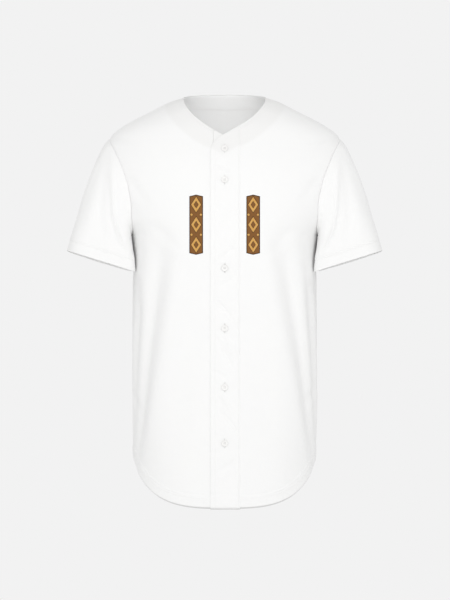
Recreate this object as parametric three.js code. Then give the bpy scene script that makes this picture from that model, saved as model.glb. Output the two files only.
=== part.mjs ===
// A short-sleeved baseball jersey in the hollow shape that it has when worn.
// Millimetres, +Z up. The front faces -Y and the wearer's left side is +X.
// The origin is midway between the shoulders, level with the neck ends of the shoulder seams.

import * as THREE from 'three';

// Cloth
const WALL = 1.5;
const BAND_WALL = 1.6;
const FACING_WALL = 1.2;
const SEAM_GAP = 0.3;
const ARMHOLE_GAP = 0.6;
const LAYER_GAP = 0.3;
const HEM_RELIEF = 0.6;
const BODY_HEM = 23;
const SLEEVE_HEM = 22;
const HEM_STEP = 1.5;
const SQUARENESS = 2.4;
const FOLD_EASE = 0.3;

// Landmarks on the body, as heights
const SHOULDER_TIP_Z = -79;
const UNDERARM_Z = -265;
const FRONT_HEM_Z = -782;
const BACK_HEM_Z = -785;
const HEM_RISE = 97;
const HEM_RISE_POWER = 1.6;
const BACK_NECK_Z = 6.6;
const V_POINT_X = -3;
const V_POINT_Z = -73;

// Armhole, as a loop on the body: how far it cuts in from the side, as a share of a quarter of the girth
const ARMHOLE_CUT = 0.41;
const ARMHOLE_SQUARENESS = 2.4;
const SEAM_TANGENT_STEP = 10;

// Front edges of the two fronts and their bands
const RIGHT_FRONT_EDGE = -22;
const LEFT_FRONT_EDGE = 20.3;
const BUTTON_BAND_COLUMNS = [-21.3, -12, -3, 8, 19.8];
const PLACKET_COLUMNS = [-27, -21.85, -12, -3, 8, 20.15, 29];
const PLACKET_CORNER_RISE = 28;
const PLACKET_CORNER_POWER = 1.45;
const PLACKET_DROP = 1.5;
const UNDERLAP_SLOPE = 0.56;

// Mesh rows from the hem up, and columns from the centre line to the side
const HEM_ROWS = 2;
const SIDE_ROWS = 11;
const ARMHOLE_ROWS = 12;
const COLUMNS = 14;
const SHOULDER_SHARES = [0.255, 0.51, 0.765, 0.883, 1];
const FRONT_SHARES = [0.168, 0.334, 0.502, 0.751, 1];
const BACK_SHARES = [0.24, 0.48, 0.7, 0.85, 1];
const FACING_ROWS = 2;
const OVER_SHOULDER = 1;
const UNDERARM_ROW_Z = -350;
const FRONT_SHOULDER_ROW_Z = -150;
const BACK_SHOULDER_ROW_Z = -120;

// How finely curves are measured, and how far a search for a height goes past the panels
const CURVE_STEPS = 200;
const SEARCH_STEPS = 40;
const SEARCH_MARGIN = 10;
const TURN_STEP = 0.004;
const HEIGHT_STEP = 0.5;

// Sleeve
const SLEEVE_ROWS = 10;
const SLEEVE_HEM_CENTRE = new THREE.Vector3(239.8, 0, -311);
const SLEEVE_HEM_REACH = new THREE.Vector3(62.2, 0, 19.2);
const SLEEVE_HEM_DEPTH = 70;
const SLEEVE_BACK_DROP = 3.5;
const SLEEVE_OUTER_END = new THREE.Vector3(0.3, 0, -0.954);
const SLEEVE_INNER_END = new THREE.Vector3(-0.03, 0, -1);
const FULL_FOLD_LENGTH = 100;
const ANGLE_STEP = 1;
const SHARE_STEP = 0.01;

// Buttons
const BUTTON_RADIUS = 6.35;
const BUTTON_THICKNESS = 2.6;
const BUTTON_RIM = 1.3;
const BUTTON_DISH = 0.7;
const BUTTON_BACK_ROUND = { inward: 0.8, up: 0.9 };
const BUTTON_RIM_ROUND = { inward: 0.5, down: 0.6 };
const BUTTON_SEAT = 0.6;
const BUTTON_HEIGHTS = [-100, -159, -326, -440, -552, -658];
const BUTTON_SIDES = 14;

function table(columns, rows) {
  return rows.map((row) => Object.fromEntries(columns.map((column, i) => [column, row[i]])));
}

// Level sections through the body, from the hem up
const SECTIONS = table(['z', 'halfWidth', 'front', 'back', 'centre'], [
  [-800, 173, 127, 122, 0],
  [-720, 173.5, 126, 121, 0],
  [-640, 174.5, 124, 118, 0],
  [-540, 175.5, 122, 114, 0],
  [-450, 176, 122, 112, 0],
  [-370, 175.5, 126, 115, 0],
  [-310, 174, 130, 120, 1],
  [-265, 178, 132, 124, 2],
  [-227, 200, 131, 126, 3],
  [-172, 218, 126, 124, 5],
  [-121, 229, 116, 119, 7],
  [-96, 227, 108, 113, 8],
  [-79, 220, 101, 108, 8],
  [-71, 214, 98, 105, 8],
  [-56, 195, 92, 101, 8],
  [-41, 168.5, 84, 95, 8],
  [-24, 134, 74, 84, 8],
  [-10.5, 107.7, 62, 72, 8],
  [0, 79, 52, 62, 8],
  [12, 58, 42, 52, 8],
]);

// Neck opening seen from the front, from the V up to the shoulder seams
const NECKLINE = table(['z', 'half'], [
  [V_POINT_Z, 0],
  [-64, 16],
  [-54, 33],
  [-45, 46],
  [-35, 58],
  [-26, 66.5],
  [-16, 73.5],
  [-7, 77.8],
  [0, 79],
]);

// Folds of the body. A turn of 0 is the centre front, 1 the wearer's left side and 2 the centre back.
const BODY_FOLDS = table(['lowTurn', 'lowZ', 'highTurn', 'highZ', 'bow', 'width', 'depth'], [
  [-0.7, -690, -0.41, -215, 0.03, 17, 7],
  [-0.86, -640, -0.66, -330, 0.02, 12, 4],
  [-0.55, -700, -0.3, -250, 0.03, 20, -2.5],
  [0.74, -700, 0.36, -205, -0.03, 16, 6.5],
  [0.88, -630, 0.62, -300, -0.02, 12, 4],
  [0.56, -700, 0.24, -240, -0.03, 20, -2.5],
  [-1.3, -700, -1.55, -240, -0.03, 18, 6.5],
  [-1.15, -620, -1.28, -320, 0.02, 12, 3.5],
  [1.28, -690, 1.57, -225, 0.03, 18, 7],
  [1.12, -640, 1.3, -340, -0.02, 12, 3.5],
  [1.86, -740, 1.9, -420, 0.02, 16, 3.5],
  [-1.84, -730, -1.93, -470, -0.02, 15, 3],
]);

// Folds of a sleeve. An angle of 0 is the shoulder, 90 the front, 180 the underarm and 270 the back.
const SLEEVE_FOLDS = table(['hemAngle', 'capAngle', 'hemEnd', 'capEnd', 'width', 'depth'], [
  [112, 66, 0.18, 0.98, 9, 5],
  [86, 44, 0.25, 1, 10, -2],
  [140, 118, 0.05, 0.8, 8, 3],
  [250, 292, 0.2, 0.97, 10, 4.5],
  [222, 236, 0.05, 0.7, 8, 3],
]);

// How the sleeve leaves the armhole and arrives at its hem, from the shoulder round to the underarm
const SLEEVE_RUN = table(['angle', 'lift', 'leave', 'arrive'], [
  [0, 32, 24, 84],
  [45, 42, 26, 74],
  [90, 56, 24, 58],
  [135, 74, 15, 42],
  [180, 88, 6, 24],
]);

// Smooth value of one column of a table at a place between its rows
function along(rows, key, name, at) {
  const secant = (i) => (rows[i + 1][name] - rows[i][name]) / (rows[i + 1][key] - rows[i][key]);
  const last = rows.length - 1;
  const slope = (i) => {
    const before = secant(Math.max(i - 1, 0));
    const after = secant(Math.min(i, last - 1));
    return before * after > 0 ? (2 * before * after) / (before + after) : 0;
  };
  let i = 0;
  while (i < last - 1 && at > rows[i + 1][key]) i += 1;
  const span = rows[i + 1][key] - rows[i][key];
  const share = THREE.MathUtils.clamp((at - rows[i][key]) / span, 0, 1);
  const square = share * share;
  const cube = square * share;
  return (
    (2 * cube - 3 * square + 1) * rows[i][name] +
    (cube - 2 * square + share) * span * slope(i) +
    (3 * square - 2 * cube) * rows[i + 1][name] +
    (cube - square) * span * slope(i + 1)
  );
}

const section = (name, z) => along(SECTIONS, 'z', name, z);

// The smooth body without folds
function plainBody(turn, z) {
  const angle = (turn * Math.PI) / 2;
  const sine = Math.sin(angle);
  const cosine = Math.cos(angle);
  const fill = Math.abs(sine) ** SQUARENESS + Math.abs(cosine) ** SQUARENESS;
  const round = fill ** (-1 / SQUARENESS);
  const depth = section(cosine > 0 ? 'front' : 'back', z);
  return new THREE.Vector3(
    section('halfWidth', z) * round * sine,
    section('centre', z) - depth * round * cosine,
    z,
  );
}

// Direction that faces out of a surface given as a function of two coordinates
function facing(surface, across, up, acrossStep, upStep) {
  const alongAcross = surface(across + acrossStep, up).sub(surface(across - acrossStep, up));
  const alongUp = surface(across, up + upStep).sub(surface(across, up - upStep));
  return alongAcross.cross(alongUp).normalize();
}

// 1 along a fold, easing to 0 at both of its ends
function foldFade(share) {
  const rise = THREE.MathUtils.smoothstep(share, 0, FOLD_EASE);
  return rise * THREE.MathUtils.smoothstep(1 - share, 0, FOLD_EASE);
}

function bodyFold(turn, z) {
  let out = 0;
  for (const fold of BODY_FOLDS) {
    const share = (z - fold.lowZ) / (fold.highZ - fold.lowZ);
    const bow = fold.bow * 4 * share * (1 - share);
    const middle = fold.lowTurn + (fold.highTurn - fold.lowTurn) * share + bow;
    const quarter = quarterGirth(Math.abs(turn) < 1 ? 'front' : 'back', z);
    const across = ((turn - middle) * quarter) / fold.width;
    out -= fold.depth * Math.exp(-across * across) * foldFade(share);
  }
  return out;
}

// The outside of the body's cloth
function body(turn, z) {
  const out = facing(plainBody, turn, z, TURN_STEP, HEIGHT_STEP);
  return plainBody(turn, z).addScaledVector(out, bodyFold(turn, z));
}

const bodyOut = (turn, z) => facing(body, turn, z, TURN_STEP, HEIGHT_STEP);

function quarterGirth(face, z) {
  return (Math.PI / 4) * (section('halfWidth', z) + section(face, z));
}

// Share of the way from the centre line to the side at which the body is this far from the middle plane
function shareAt(x, z) {
  const wide = Math.min(Math.abs(x) / section('halfWidth', z), 1);
  const deep = (1 - wide ** SQUARENESS) ** (1 / SQUARENESS);
  return Math.atan2(wide, deep) / (Math.PI / 2);
}

// The turn of a point of a front or back panel, on the wearer's left (1) or right (-1)
const turnOf = (face, side, share) => side * (face === 'front' ? share : 2 - share);

function hemZ(face, share) {
  const middle = face === 'front' ? FRONT_HEM_Z : BACK_HEM_Z;
  const rise = Math.sin((Math.PI / 2) * Math.abs(share) ** HEM_RISE_POWER);
  return middle + (HEM_RISE + (FRONT_HEM_Z - middle)) * rise * rise;
}

// Angles are in degrees: 0 at the shoulder seam and 180 at the underarm
function armhole(angle) {
  const radians = THREE.MathUtils.degToRad(angle);
  const sine = Math.abs(Math.sin(radians));
  const cosine = Math.cos(radians);
  const fill = sine ** ARMHOLE_SQUARENESS + Math.abs(cosine) ** ARMHOLE_SQUARENESS;
  const round = fill ** (-1 / ARMHOLE_SQUARENESS);
  const middle = (SHOULDER_TIP_Z + UNDERARM_Z) / 2;
  const half = (SHOULDER_TIP_Z - UNDERARM_Z) / 2;
  return { share: 1 - ARMHOLE_CUT * round * sine, z: middle + half * round * cosine };
}

const neckShift = (z) => (V_POINT_X * z) / V_POINT_Z;

// Distance of the front neckline from the middle plane, on one side
const neckReach = (side, z) => along(NECKLINE, 'z', 'half', z) + side * neckShift(z);

// Height of the front neckline at a place across the front
const neckZ = (x) => along(NECKLINE, 'half', 'z', Math.abs(x - V_POINT_X));

// Points evenly spaced along a curve on a panel, which is given by a function of 0 to 1
function spread(curve, place, count) {
  const marks = Array.from({ length: CURVE_STEPS + 1 }, (_, i) => curve(i / CURVE_STEPS));
  const lengths = [0];
  for (let i = 1; i <= CURVE_STEPS; i += 1) {
    lengths.push(lengths[i - 1] + place(marks[i]).distanceTo(place(marks[i - 1])));
  }
  const picked = [];
  let i = 0;
  for (let step = 0; step <= count; step += 1) {
    const goal = (lengths[CURVE_STEPS] * step) / count;
    while (i < CURVE_STEPS - 1 && lengths[i + 1] < goal) i += 1;
    const part = (goal - lengths[i]) / (lengths[i + 1] - lengths[i]);
    picked.push(curve((i + part) / CURVE_STEPS));
  }
  return picked;
}

// Points at given shares of the length of a curve
function spreadAt(curve, place, shares) {
  const even = spread(curve, place, CURVE_STEPS);
  return shares.map((share) => even[Math.round(share * CURVE_STEPS)]);
}

// Evenly spaced values after from, up to and with to
function steps(from, to, count) {
  return Array.from({ length: count }, (_, i) => from + ((to - from) * (i + 1)) / count);
}

// Heights of the rows of mesh on a panel's centre edge
function centreRows(hem, shoulderRowZ, top, shares) {
  return [
    hem,
    hem + BODY_HEM - HEM_STEP,
    hem + BODY_HEM,
    ...steps(hem + BODY_HEM, UNDERARM_ROW_Z, SIDE_ROWS),
    ...steps(UNDERARM_ROW_Z, shoulderRowZ, ARMHOLE_ROWS),
    ...shares.map((share) => shoulderRowZ + (top - shoulderRowZ) * share),
  ];
}

// The side seam, armhole and shoulder seam of a panel, row by row
function sideEdge(face) {
  const trim = (z) => SEAM_GAP / 2 / ((Math.PI / 2) * section(face, z));
  const hem = hemZ('front', 1);
  const narrowing = (UNDERARM_Z - hem) / (UNDERARM_ROW_Z - FRONT_HEM_Z);
  const seamZ = [
    hem,
    hem + (BODY_HEM - HEM_STEP) * narrowing,
    hem + BODY_HEM * narrowing,
    ...steps(hem + BODY_HEM * narrowing, UNDERARM_Z, SIDE_ROWS),
  ];
  const arc = steps(180, 0, ARMHOLE_ROWS).map(armhole);
  const shoulder = spreadAt(
    (t) => ({ share: 1, z: SHOULDER_TIP_Z * (1 - t) }),
    (mark) => plainBody(turnOf(face, 1, mark.share), mark.z),
    SHOULDER_SHARES,
  );
  const marks = [...seamZ.map((z) => ({ share: 1, z })), ...arc, ...shoulder];
  return marks.map(({ share, z }) => ({ share: Math.min(share, 1 - trim(z)), z }));
}

// Lengths run along an edge, as shares of its whole
function edgeShares(edge) {
  const lengths = [0];
  for (let i = 1; i < edge.length; i += 1) {
    lengths.push(lengths[i - 1] + Math.hypot(edge[i].w - edge[i - 1].w, edge[i].h - edge[i - 1].h));
  }
  return lengths.map((length) => length / lengths.at(-1));
}

// Laying a panel flat: w runs around the body, and h runs up it and over the shoulder
function laidFlat(face, { share, z }) {
  const outward = Math.abs(plainBody(turnOf(face, 1, share), z).y - section('centre', z));
  return { w: share * quarterGirth(face, z), h: z - OVER_SHOULDER * outward };
}

// The mark of a panel that lies at a place of its flat outline
function markAt(face, w, h) {
  let low = FRONT_HEM_Z - SEARCH_MARGIN;
  let high = BACK_NECK_Z + SEARCH_MARGIN / 2;
  for (let i = 0; i < SEARCH_STEPS; i += 1) {
    const z = (low + high) / 2;
    const share = Math.min(w / quarterGirth(face, z), 1);
    if (laidFlat(face, { share, z }).h < h) low = z;
    else high = z;
  }
  return { share: Math.min(w / quarterGirth(face, low), 1), z: low };
}

// Fills a panel's flat outline with rows and columns, and gives the mark of each crossing
function fillPanel(face, { bottom, top, left, right }) {
  const edges = [bottom, top, left, right];
  const [low, high, near, far] = edges.map((edge) => edge.map((mark) => laidFlat(face, mark)));
  const nearShares = edgeShares(near);
  const farShares = edgeShares(far);
  const mix = (axis, u, v, j, k) => {
    const upward = (1 - v) * low[j][axis] + v * high[j][axis];
    const sideways = (1 - u) * near[k][axis] + u * far[k][axis];
    const lowCorners = (1 - v) * ((1 - u) * low[0][axis] + u * low.at(-1)[axis]);
    const highCorners = v * ((1 - u) * high[0][axis] + u * high.at(-1)[axis]);
    return upward + sideways - lowCorners - highCorners;
  };
  const crossing = (k, j) => {
    if (k === 0) return bottom[j];
    if (k === near.length - 1) return top[j];
    if (j === 0) return left[k];
    if (j === low.length - 1) return right[k];
    const v = (nearShares[k] + farShares[k]) / 2;
    const u = j / (low.length - 1);
    return markAt(face, mix('w', u, v, j, k), mix('h', u, v, j, k));
  };
  return near.map((_, k) => low.map((__, j) => crossing(k, j)));
}

// One front, from its centre edge to the side, on the wearer's left (1) or right (-1)
function frontMarks(side, edgeX) {
  const reach = Math.abs(edgeX);
  const place = (mark) => plainBody(side * mark.share, mark.z);
  const topZ = neckZ(edgeX);
  const hem = FRONT_HEM_Z;
  const left = centreRows(hem, FRONT_SHOULDER_ROW_Z, topZ, FRONT_SHARES).map((z) => ({
    share: shareAt(reach, z),
    z,
  }));
  const right = sideEdge('front');
  const bottom = spread(
    (t) => {
      const share = left[0].share + (right[0].share - left[0].share) * t;
      return { share, z: hemZ('front', share) };
    },
    place,
    COLUMNS,
  );
  const top = spread(
    (t) => {
      const z = topZ * (1 - t) ** 2;
      const share = t === 1 ? right.at(-1).share : shareAt(neckReach(side, z), z);
      return { share: Math.min(share, right.at(-1).share), z };
    },
    place,
    COLUMNS,
  );
  left[0] = bottom[0];
  left[left.length - 1] = top[0];
  return fillPanel('front', { bottom, top, left, right });
}

// Half of the back, from its centre line to the side
function backMarks() {
  const place = (mark) => plainBody(2 - mark.share, mark.z);
  const heights = centreRows(BACK_HEM_Z, BACK_SHOULDER_ROW_Z, BACK_NECK_Z, BACK_SHARES);
  const left = heights.map((z) => ({ share: 0, z }));
  const right = sideEdge('back');
  const hemMark = (share) => ({ share, z: hemZ('back', share) });
  const neckMark = (t) => ({ share: right.at(-1).share * t, z: BACK_NECK_Z * (1 - t * t) });
  const bottom = spread((t) => hemMark(right[0].share * t), place, COLUMNS);
  const top = spread(neckMark, place, COLUMNS);
  return fillPanel('back', { bottom, top, left, right });
}

const hemRelief = (row) => (row < HEM_ROWS ? HEM_RELIEF : 0);

// The outside of a panel's cloth at each mark of its grid, raised by a height that may change by row
function lift(marks, height) {
  return marks.map((row, k) =>
    row.map(({ turn, z }) => body(turn, z).addScaledVector(bodyOut(turn, z), height(k))),
  );
}

// A closed body between two matching grids of points, joined at their edges
function closeShell(outer, inner, isTube) {
  const rows = outer.length;
  const columns = outer[0].length;
  const points = [...outer.flat(), ...inner.flat()];
  const at = (layer, k, j) => layer * rows * columns + k * columns + (j % columns);
  const faces = [];
  const quad = (a, b, c, d) => faces.push(a, b, c, a, c, d);
  const spans = isTube ? columns : columns - 1;
  const end = columns - 1;
  const top = rows - 1;
  for (let k = 0; k < top; k += 1) {
    for (let j = 0; j < spans; j += 1) {
      quad(at(0, k, j), at(0, k, j + 1), at(0, k + 1, j + 1), at(0, k + 1, j));
      quad(at(1, k, j), at(1, k + 1, j), at(1, k + 1, j + 1), at(1, k, j + 1));
    }
    if (!isTube) {
      quad(at(0, k, 0), at(0, k + 1, 0), at(1, k + 1, 0), at(1, k, 0));
      quad(at(1, k, end), at(1, k + 1, end), at(0, k + 1, end), at(0, k, end));
    }
  }
  for (let j = 0; j < spans; j += 1) {
    quad(at(1, 0, j), at(1, 0, j + 1), at(0, 0, j + 1), at(0, 0, j));
    quad(at(0, top, j), at(0, top, j + 1), at(1, top, j + 1), at(1, top, j));
  }
  const geometry = new THREE.BufferGeometry();
  const positions = points.flatMap((point) => point.toArray());
  geometry.setAttribute('position', new THREE.Float32BufferAttribute(positions, 3));
  geometry.setIndex(signedVolume(points, faces) < 0 ? faces.reverse() : faces);
  geometry.computeVertexNormals();
  return geometry;
}

function signedVolume(points, faces) {
  let volume = 0;
  for (let i = 0; i < faces.length; i += 3) {
    const [a, b, c] = [points[faces[i]], points[faces[i + 1]], points[faces[i + 2]]];
    volume += a.dot(b.clone().cross(c)) / 6;
  }
  return volume;
}

// A piece of cloth whose outside and inside lie at their own heights over the body's cloth
function clothOnBody(marks, outside, inside) {
  return closeShell(lift(marks, outside), lift(marks, inside), false);
}

// The top edge of the button band and of the placket band at a place across the front
function buttonBandTop(x) {
  return x < V_POINT_X ? neckZ(x) : V_POINT_Z - UNDERLAP_SLOPE * (x - V_POINT_X);
}

function placketTop(x) {
  if (x >= V_POINT_X) return neckZ(x);
  const width = V_POINT_X - PLACKET_COLUMNS[0];
  const share = (V_POINT_X - x) / width;
  const rise = (1 - share ** PLACKET_CORNER_POWER) ** (1 / PLACKET_CORNER_POWER);
  return V_POINT_Z - PLACKET_CORNER_RISE * (1 - rise);
}

// An upright strip down the centre front, as turns and heights
function bandMarks(columns, hem, topOf) {
  const byColumn = columns.map((x) =>
    centreRows(FRONT_HEM_Z, FRONT_SHOULDER_ROW_Z, topOf(x), FRONT_SHARES).map((z, k) => {
      const height = k === 0 ? hem : z;
      return { turn: Math.sign(x) * shareAt(x, height), z: height };
    }),
  );
  return byColumn[0].map((_, k) => byColumn.map((column) => column[k]));
}

// A point on the seam line of a sleeve, with the directions out of the cloth and into the armhole
function armholeFrame(side, angle) {
  const seam = (degrees) => {
    const { share, z } = armhole(degrees);
    const face = Math.sin(THREE.MathUtils.degToRad(degrees)) >= 0 ? 'front' : 'back';
    return { turn: turnOf(face, side, share), z };
  };
  const here = seam(angle);
  const ahead = seam(angle + SEAM_TANGENT_STEP);
  const behind = seam(angle - SEAM_TANGENT_STEP);
  const point = body(here.turn, here.z);
  const out = bodyOut(here.turn, here.z);
  const tangent = body(ahead.turn, ahead.z).sub(body(behind.turn, behind.z)).normalize();
  const into = out.clone().cross(tangent).multiplyScalar(side).normalize();
  return { point, out, into };
}

const mirrored = (vector, side) => new THREE.Vector3(vector.x * side, vector.y, vector.z);

// One line of the sleeve from the armhole to the hem
function sleeveLine(side, angle) {
  const around = Math.abs(THREE.MathUtils.euclideanModulo(angle + 180, 360) - 180);
  const radians = THREE.MathUtils.degToRad(angle);
  const { point, out, into } = armholeFrame(side, angle);
  const run = (name) => along(SLEEVE_RUN, 'angle', name, around);
  const rise = THREE.MathUtils.degToRad(run('lift'));
  const start = point.clone().addScaledVector(into, ARMHOLE_GAP);
  const leave = into.clone().multiplyScalar(Math.cos(rise)).addScaledVector(out, Math.sin(rise));
  const cosine = Math.cos(radians);
  const end = mirrored(SLEEVE_HEM_CENTRE, side);
  end.addScaledVector(mirrored(SLEEVE_HEM_REACH, side), cosine);
  end.y -= SLEEVE_HEM_DEPTH * Math.sin(radians);
  end.z += SLEEVE_BACK_DROP * Math.min(Math.sin(radians), 0);
  const arrive = SLEEVE_OUTER_END.clone().lerp(SLEEVE_INNER_END, (1 - cosine) / 2).normalize();
  const curve = new THREE.CubicBezierCurve3(
    start,
    start.clone().addScaledVector(leave, run('leave')),
    end.clone().addScaledVector(mirrored(arrive, side), -run('arrive')),
    end,
  );
  const edgeOut = out.clone().multiplyScalar(Math.cos(rise)).addScaledVector(into, -Math.sin(rise));
  return { curve, edgeOut };
}

function sleeveFold(angle, share, length) {
  let out = 0;
  for (const fold of SLEEVE_FOLDS) {
    const reach = (share - fold.hemEnd) / (fold.capEnd - fold.hemEnd);
    const middle = fold.hemAngle + (fold.capAngle - fold.hemAngle) * reach;
    const across = (THREE.MathUtils.degToRad(angle - middle) * SLEEVE_HEM_DEPTH) / fold.width;
    out -= fold.depth * Math.exp(-across * across) * foldFade(reach);
  }
  return out * Math.min(length / FULL_FOLD_LENGTH, 1);
}

// A short sleeve set into the armhole on the wearer's left (1) or right (-1)
function sleeve(side) {
  const count = 2 * ARMHOLE_ROWS;
  const outer = [];
  const inner = [];
  const lines = new Map();
  const lineAt = (angle) => {
    const key = angle.toFixed(3);
    if (!lines.has(key)) lines.set(key, sleeveLine(side, angle));
    return lines.get(key);
  };
  const plain = (angle, share) => lineAt(angle).curve.getPointAt(1 - share);
  const outAt = (angle, share) => {
    const inside = THREE.MathUtils.clamp(share, SHARE_STEP, 1 - SHARE_STEP);
    return facing(plain, angle, inside, ANGLE_STEP, SHARE_STEP).multiplyScalar(side);
  };
  for (let k = 0; k <= SLEEVE_ROWS + HEM_ROWS; k += 1) {
    outer.push([]);
    inner.push([]);
    for (let j = 0; j < count; j += 1) {
      const angle = (360 * j) / count;
      const { curve, edgeOut } = lineAt(angle);
      const length = curve.getLength();
      const aboveHem = [SLEEVE_HEM, ...steps(SLEEVE_HEM, length, SLEEVE_ROWS)];
      const heights = [0, SLEEVE_HEM - HEM_STEP, ...aboveHem];
      const share = Math.min(heights[k] / length, 1);
      const atSeam = k === SLEEVE_ROWS + HEM_ROWS;
      const out = atSeam ? edgeOut : outAt(angle, share);
      const fold = atSeam ? 0 : sleeveFold(angle, share, length);
      const point = plain(angle, share);
      outer[k].push(point.clone().addScaledVector(out, fold + hemRelief(k)));
      inner[k].push(point.clone().addScaledVector(out, fold - WALL));
    }
  }
  return closeShell(outer, inner, true);
}

// A round button with a raised rim, its back on the placket
function button(z) {
  const raised = BAND_WALL + LAYER_GAP;
  const out = bodyOut(0, z);
  const dishFloor = BUTTON_THICKNESS - BUTTON_DISH;
  const rimInside = BUTTON_RADIUS - BUTTON_RIM;
  const profile = [
    [0, 0],
    [BUTTON_RADIUS - BUTTON_BACK_ROUND.inward, 0],
    [BUTTON_RADIUS, BUTTON_BACK_ROUND.up],
    [BUTTON_RADIUS, BUTTON_THICKNESS - BUTTON_RIM_ROUND.down],
    [BUTTON_RADIUS - BUTTON_RIM_ROUND.inward, BUTTON_THICKNESS],
    [rimInside, BUTTON_THICKNESS],
    [rimInside - BUTTON_DISH, dishFloor],
    [0, dishFloor],
  ].map(([radius, height]) => new THREE.Vector2(radius, height));
  const geometry = new THREE.LatheGeometry(profile, BUTTON_SIDES);
  const seat = body(0, z).addScaledVector(out, raised + BUTTON_SEAT);
  return { geometry, seat, out };
}

const CLOTH = new THREE.MeshStandardMaterial({ color: 0xf4f4f3, roughness: 0.9, metalness: 0 });
const PLASTIC = new THREE.MeshStandardMaterial({ color: 0xf7f6f2, roughness: 0.35, metalness: 0 });

const jersey = new THREE.Group();

function add(name, geometry, material) {
  const mesh = new THREE.Mesh(geometry, material);
  mesh.name = name;
  jersey.add(mesh);
  return mesh;
}

// The marks of a panel as turns around the whole body
function onFace(face, side, marks) {
  return marks.map((row) => row.map(({ share, z }) => ({ turn: turnOf(face, side, share), z })));
}

const rightFront = onFace('front', -1, frontMarks(-1, RIGHT_FRONT_EDGE));
const leftFront = onFace('front', 1, frontMarks(1, LEFT_FRONT_EDGE));
const backHalf = backMarks();
const back = onFace('back', 1, backHalf).map((row, k) => [
  ...onFace('back', -1, backHalf)[k].slice(1).reverse(),
  ...row.map(({ turn, z }) => ({ turn: turn === 2 ? -2 : turn, z })),
]);

const inside = () => -WALL;
add('right_front', clothOnBody(rightFront, hemRelief, inside), CLOTH);
add('left_front', clothOnBody(leftFront, hemRelief, inside), CLOTH);
add('back_panel', clothOnBody(back, hemRelief, inside), CLOTH);
add('right_sleeve', sleeve(-1), CLOTH);
add('left_sleeve', sleeve(1), CLOTH);

const underBand = bandMarks(BUTTON_BAND_COLUMNS, FRONT_HEM_Z, buttonBandTop);
add('button_band', clothOnBody(underBand, hemRelief, inside), CLOTH);
const overBand = bandMarks(PLACKET_COLUMNS, FRONT_HEM_Z - PLACKET_DROP, placketTop);
const bandInside = (k) => hemRelief(k) + LAYER_GAP;
add('placket_band', clothOnBody(overBand, (k) => bandInside(k) + BAND_WALL, bandInside), CLOTH);

const facingOutside = () => -WALL - LAYER_GAP;
const facingInside = () => -WALL - LAYER_GAP - FACING_WALL;
const facedPanels = [
  ['right_neck_facing', rightFront],
  ['left_neck_facing', leftFront],
  ['back_neck_facing', back],
];
for (const [name, marks] of facedPanels) {
  add(name, clothOnBody(marks.slice(-FACING_ROWS - 1), facingOutside, facingInside), CLOTH);
}

BUTTON_HEIGHTS.forEach((z, i) => {
  const { geometry, seat, out } = button(z);
  const mesh = add(`button_${i + 1}`, geometry, PLASTIC);
  mesh.position.copy(seat);
  mesh.quaternion.setFromUnitVectors(new THREE.Vector3(0, 1, 0), out);
});

export default jersey;
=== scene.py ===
"""A short-sleeved baseball jersey, filled out as when worn: its cloth, sewing, buttons and studio.

Sizes are in millimetres and are changed into metres where a mesh is made. The front faces -Y, the
wearer's left side is +X, and Z is up, with the neck ends of the shoulder seams at height 0.
"""

import bisect
import logging
import math
from dataclasses import dataclass, field
from enum import Enum
from typing import Callable, NamedTuple, Sequence

import bmesh
import bpy
from mathutils import Matrix, Vector, kdtree, noise

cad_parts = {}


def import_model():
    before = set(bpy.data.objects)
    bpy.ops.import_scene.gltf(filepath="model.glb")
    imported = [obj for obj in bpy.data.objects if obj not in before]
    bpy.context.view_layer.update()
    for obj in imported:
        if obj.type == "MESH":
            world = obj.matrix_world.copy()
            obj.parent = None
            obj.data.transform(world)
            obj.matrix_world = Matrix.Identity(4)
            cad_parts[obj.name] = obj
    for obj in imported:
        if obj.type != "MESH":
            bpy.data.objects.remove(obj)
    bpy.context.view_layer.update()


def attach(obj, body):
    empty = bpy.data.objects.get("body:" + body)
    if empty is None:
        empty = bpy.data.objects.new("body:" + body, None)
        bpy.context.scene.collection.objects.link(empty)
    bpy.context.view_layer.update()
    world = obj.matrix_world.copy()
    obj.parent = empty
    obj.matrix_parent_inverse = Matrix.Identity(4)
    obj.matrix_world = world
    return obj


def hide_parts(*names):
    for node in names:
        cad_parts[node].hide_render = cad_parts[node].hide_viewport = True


LOG = logging.getLogger("jersey")
BODY = "root"
MM = 0.001
HALF_PI = math.pi / 2

Spot = tuple[float, float, float]
Colour = tuple[float, float, float, float]
StitchLine = list[tuple[Vector, Vector]]

# Points inside the garment, which its cloth faces away from
TRUNK_MIDDLE = Vector((0, 0, -400))
CHEST_MIDDLE = Vector((0, 0, -120))
NECK_MIDDLE = Vector((0, 0, -60))


class Side(Enum):
    """A side of the wearer, as the sign of X."""

    RIGHT = -1
    LEFT = 1


class Face(Enum):
    """A front or the back of the body."""

    FRONT = "front"
    BACK = "back"


class Mark(NamedTuple):
    """A place on a panel: its share of the way from the centre line to the side, and its height."""

    share: float
    z: float


def smoothstep(low: float, high: float, value: float) -> float:
    """Ease from 0 at low to 1 at high.

    Args:
        low: The value that gives 0.
        high: The value that gives 1.
        value: The value to ease.

    Returns:
        A number from 0 to 1.
    """
    share = min(max((value - low) / (high - low), 0.0), 1.0)
    return share * share * (3 - 2 * share)


def bell(distance: float, width: float) -> float:
    """Height of a bell curve of height 1 at a distance from its middle."""
    reach = distance / width
    return math.exp(-reach * reach) if abs(reach) < 4 else 0.0


def steps(start: float, end: float, count: int) -> list[float]:
    """Evenly spaced values after start, up to and with end."""
    return [start + (end - start) * (i + 1) / count for i in range(count)]


def fade_ends(share: float, low: float, high: float) -> float:
    """Ease in at one end of a run and out at its other end."""
    return smoothstep(low, high, share) * smoothstep(low, high, 1 - share)


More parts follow.
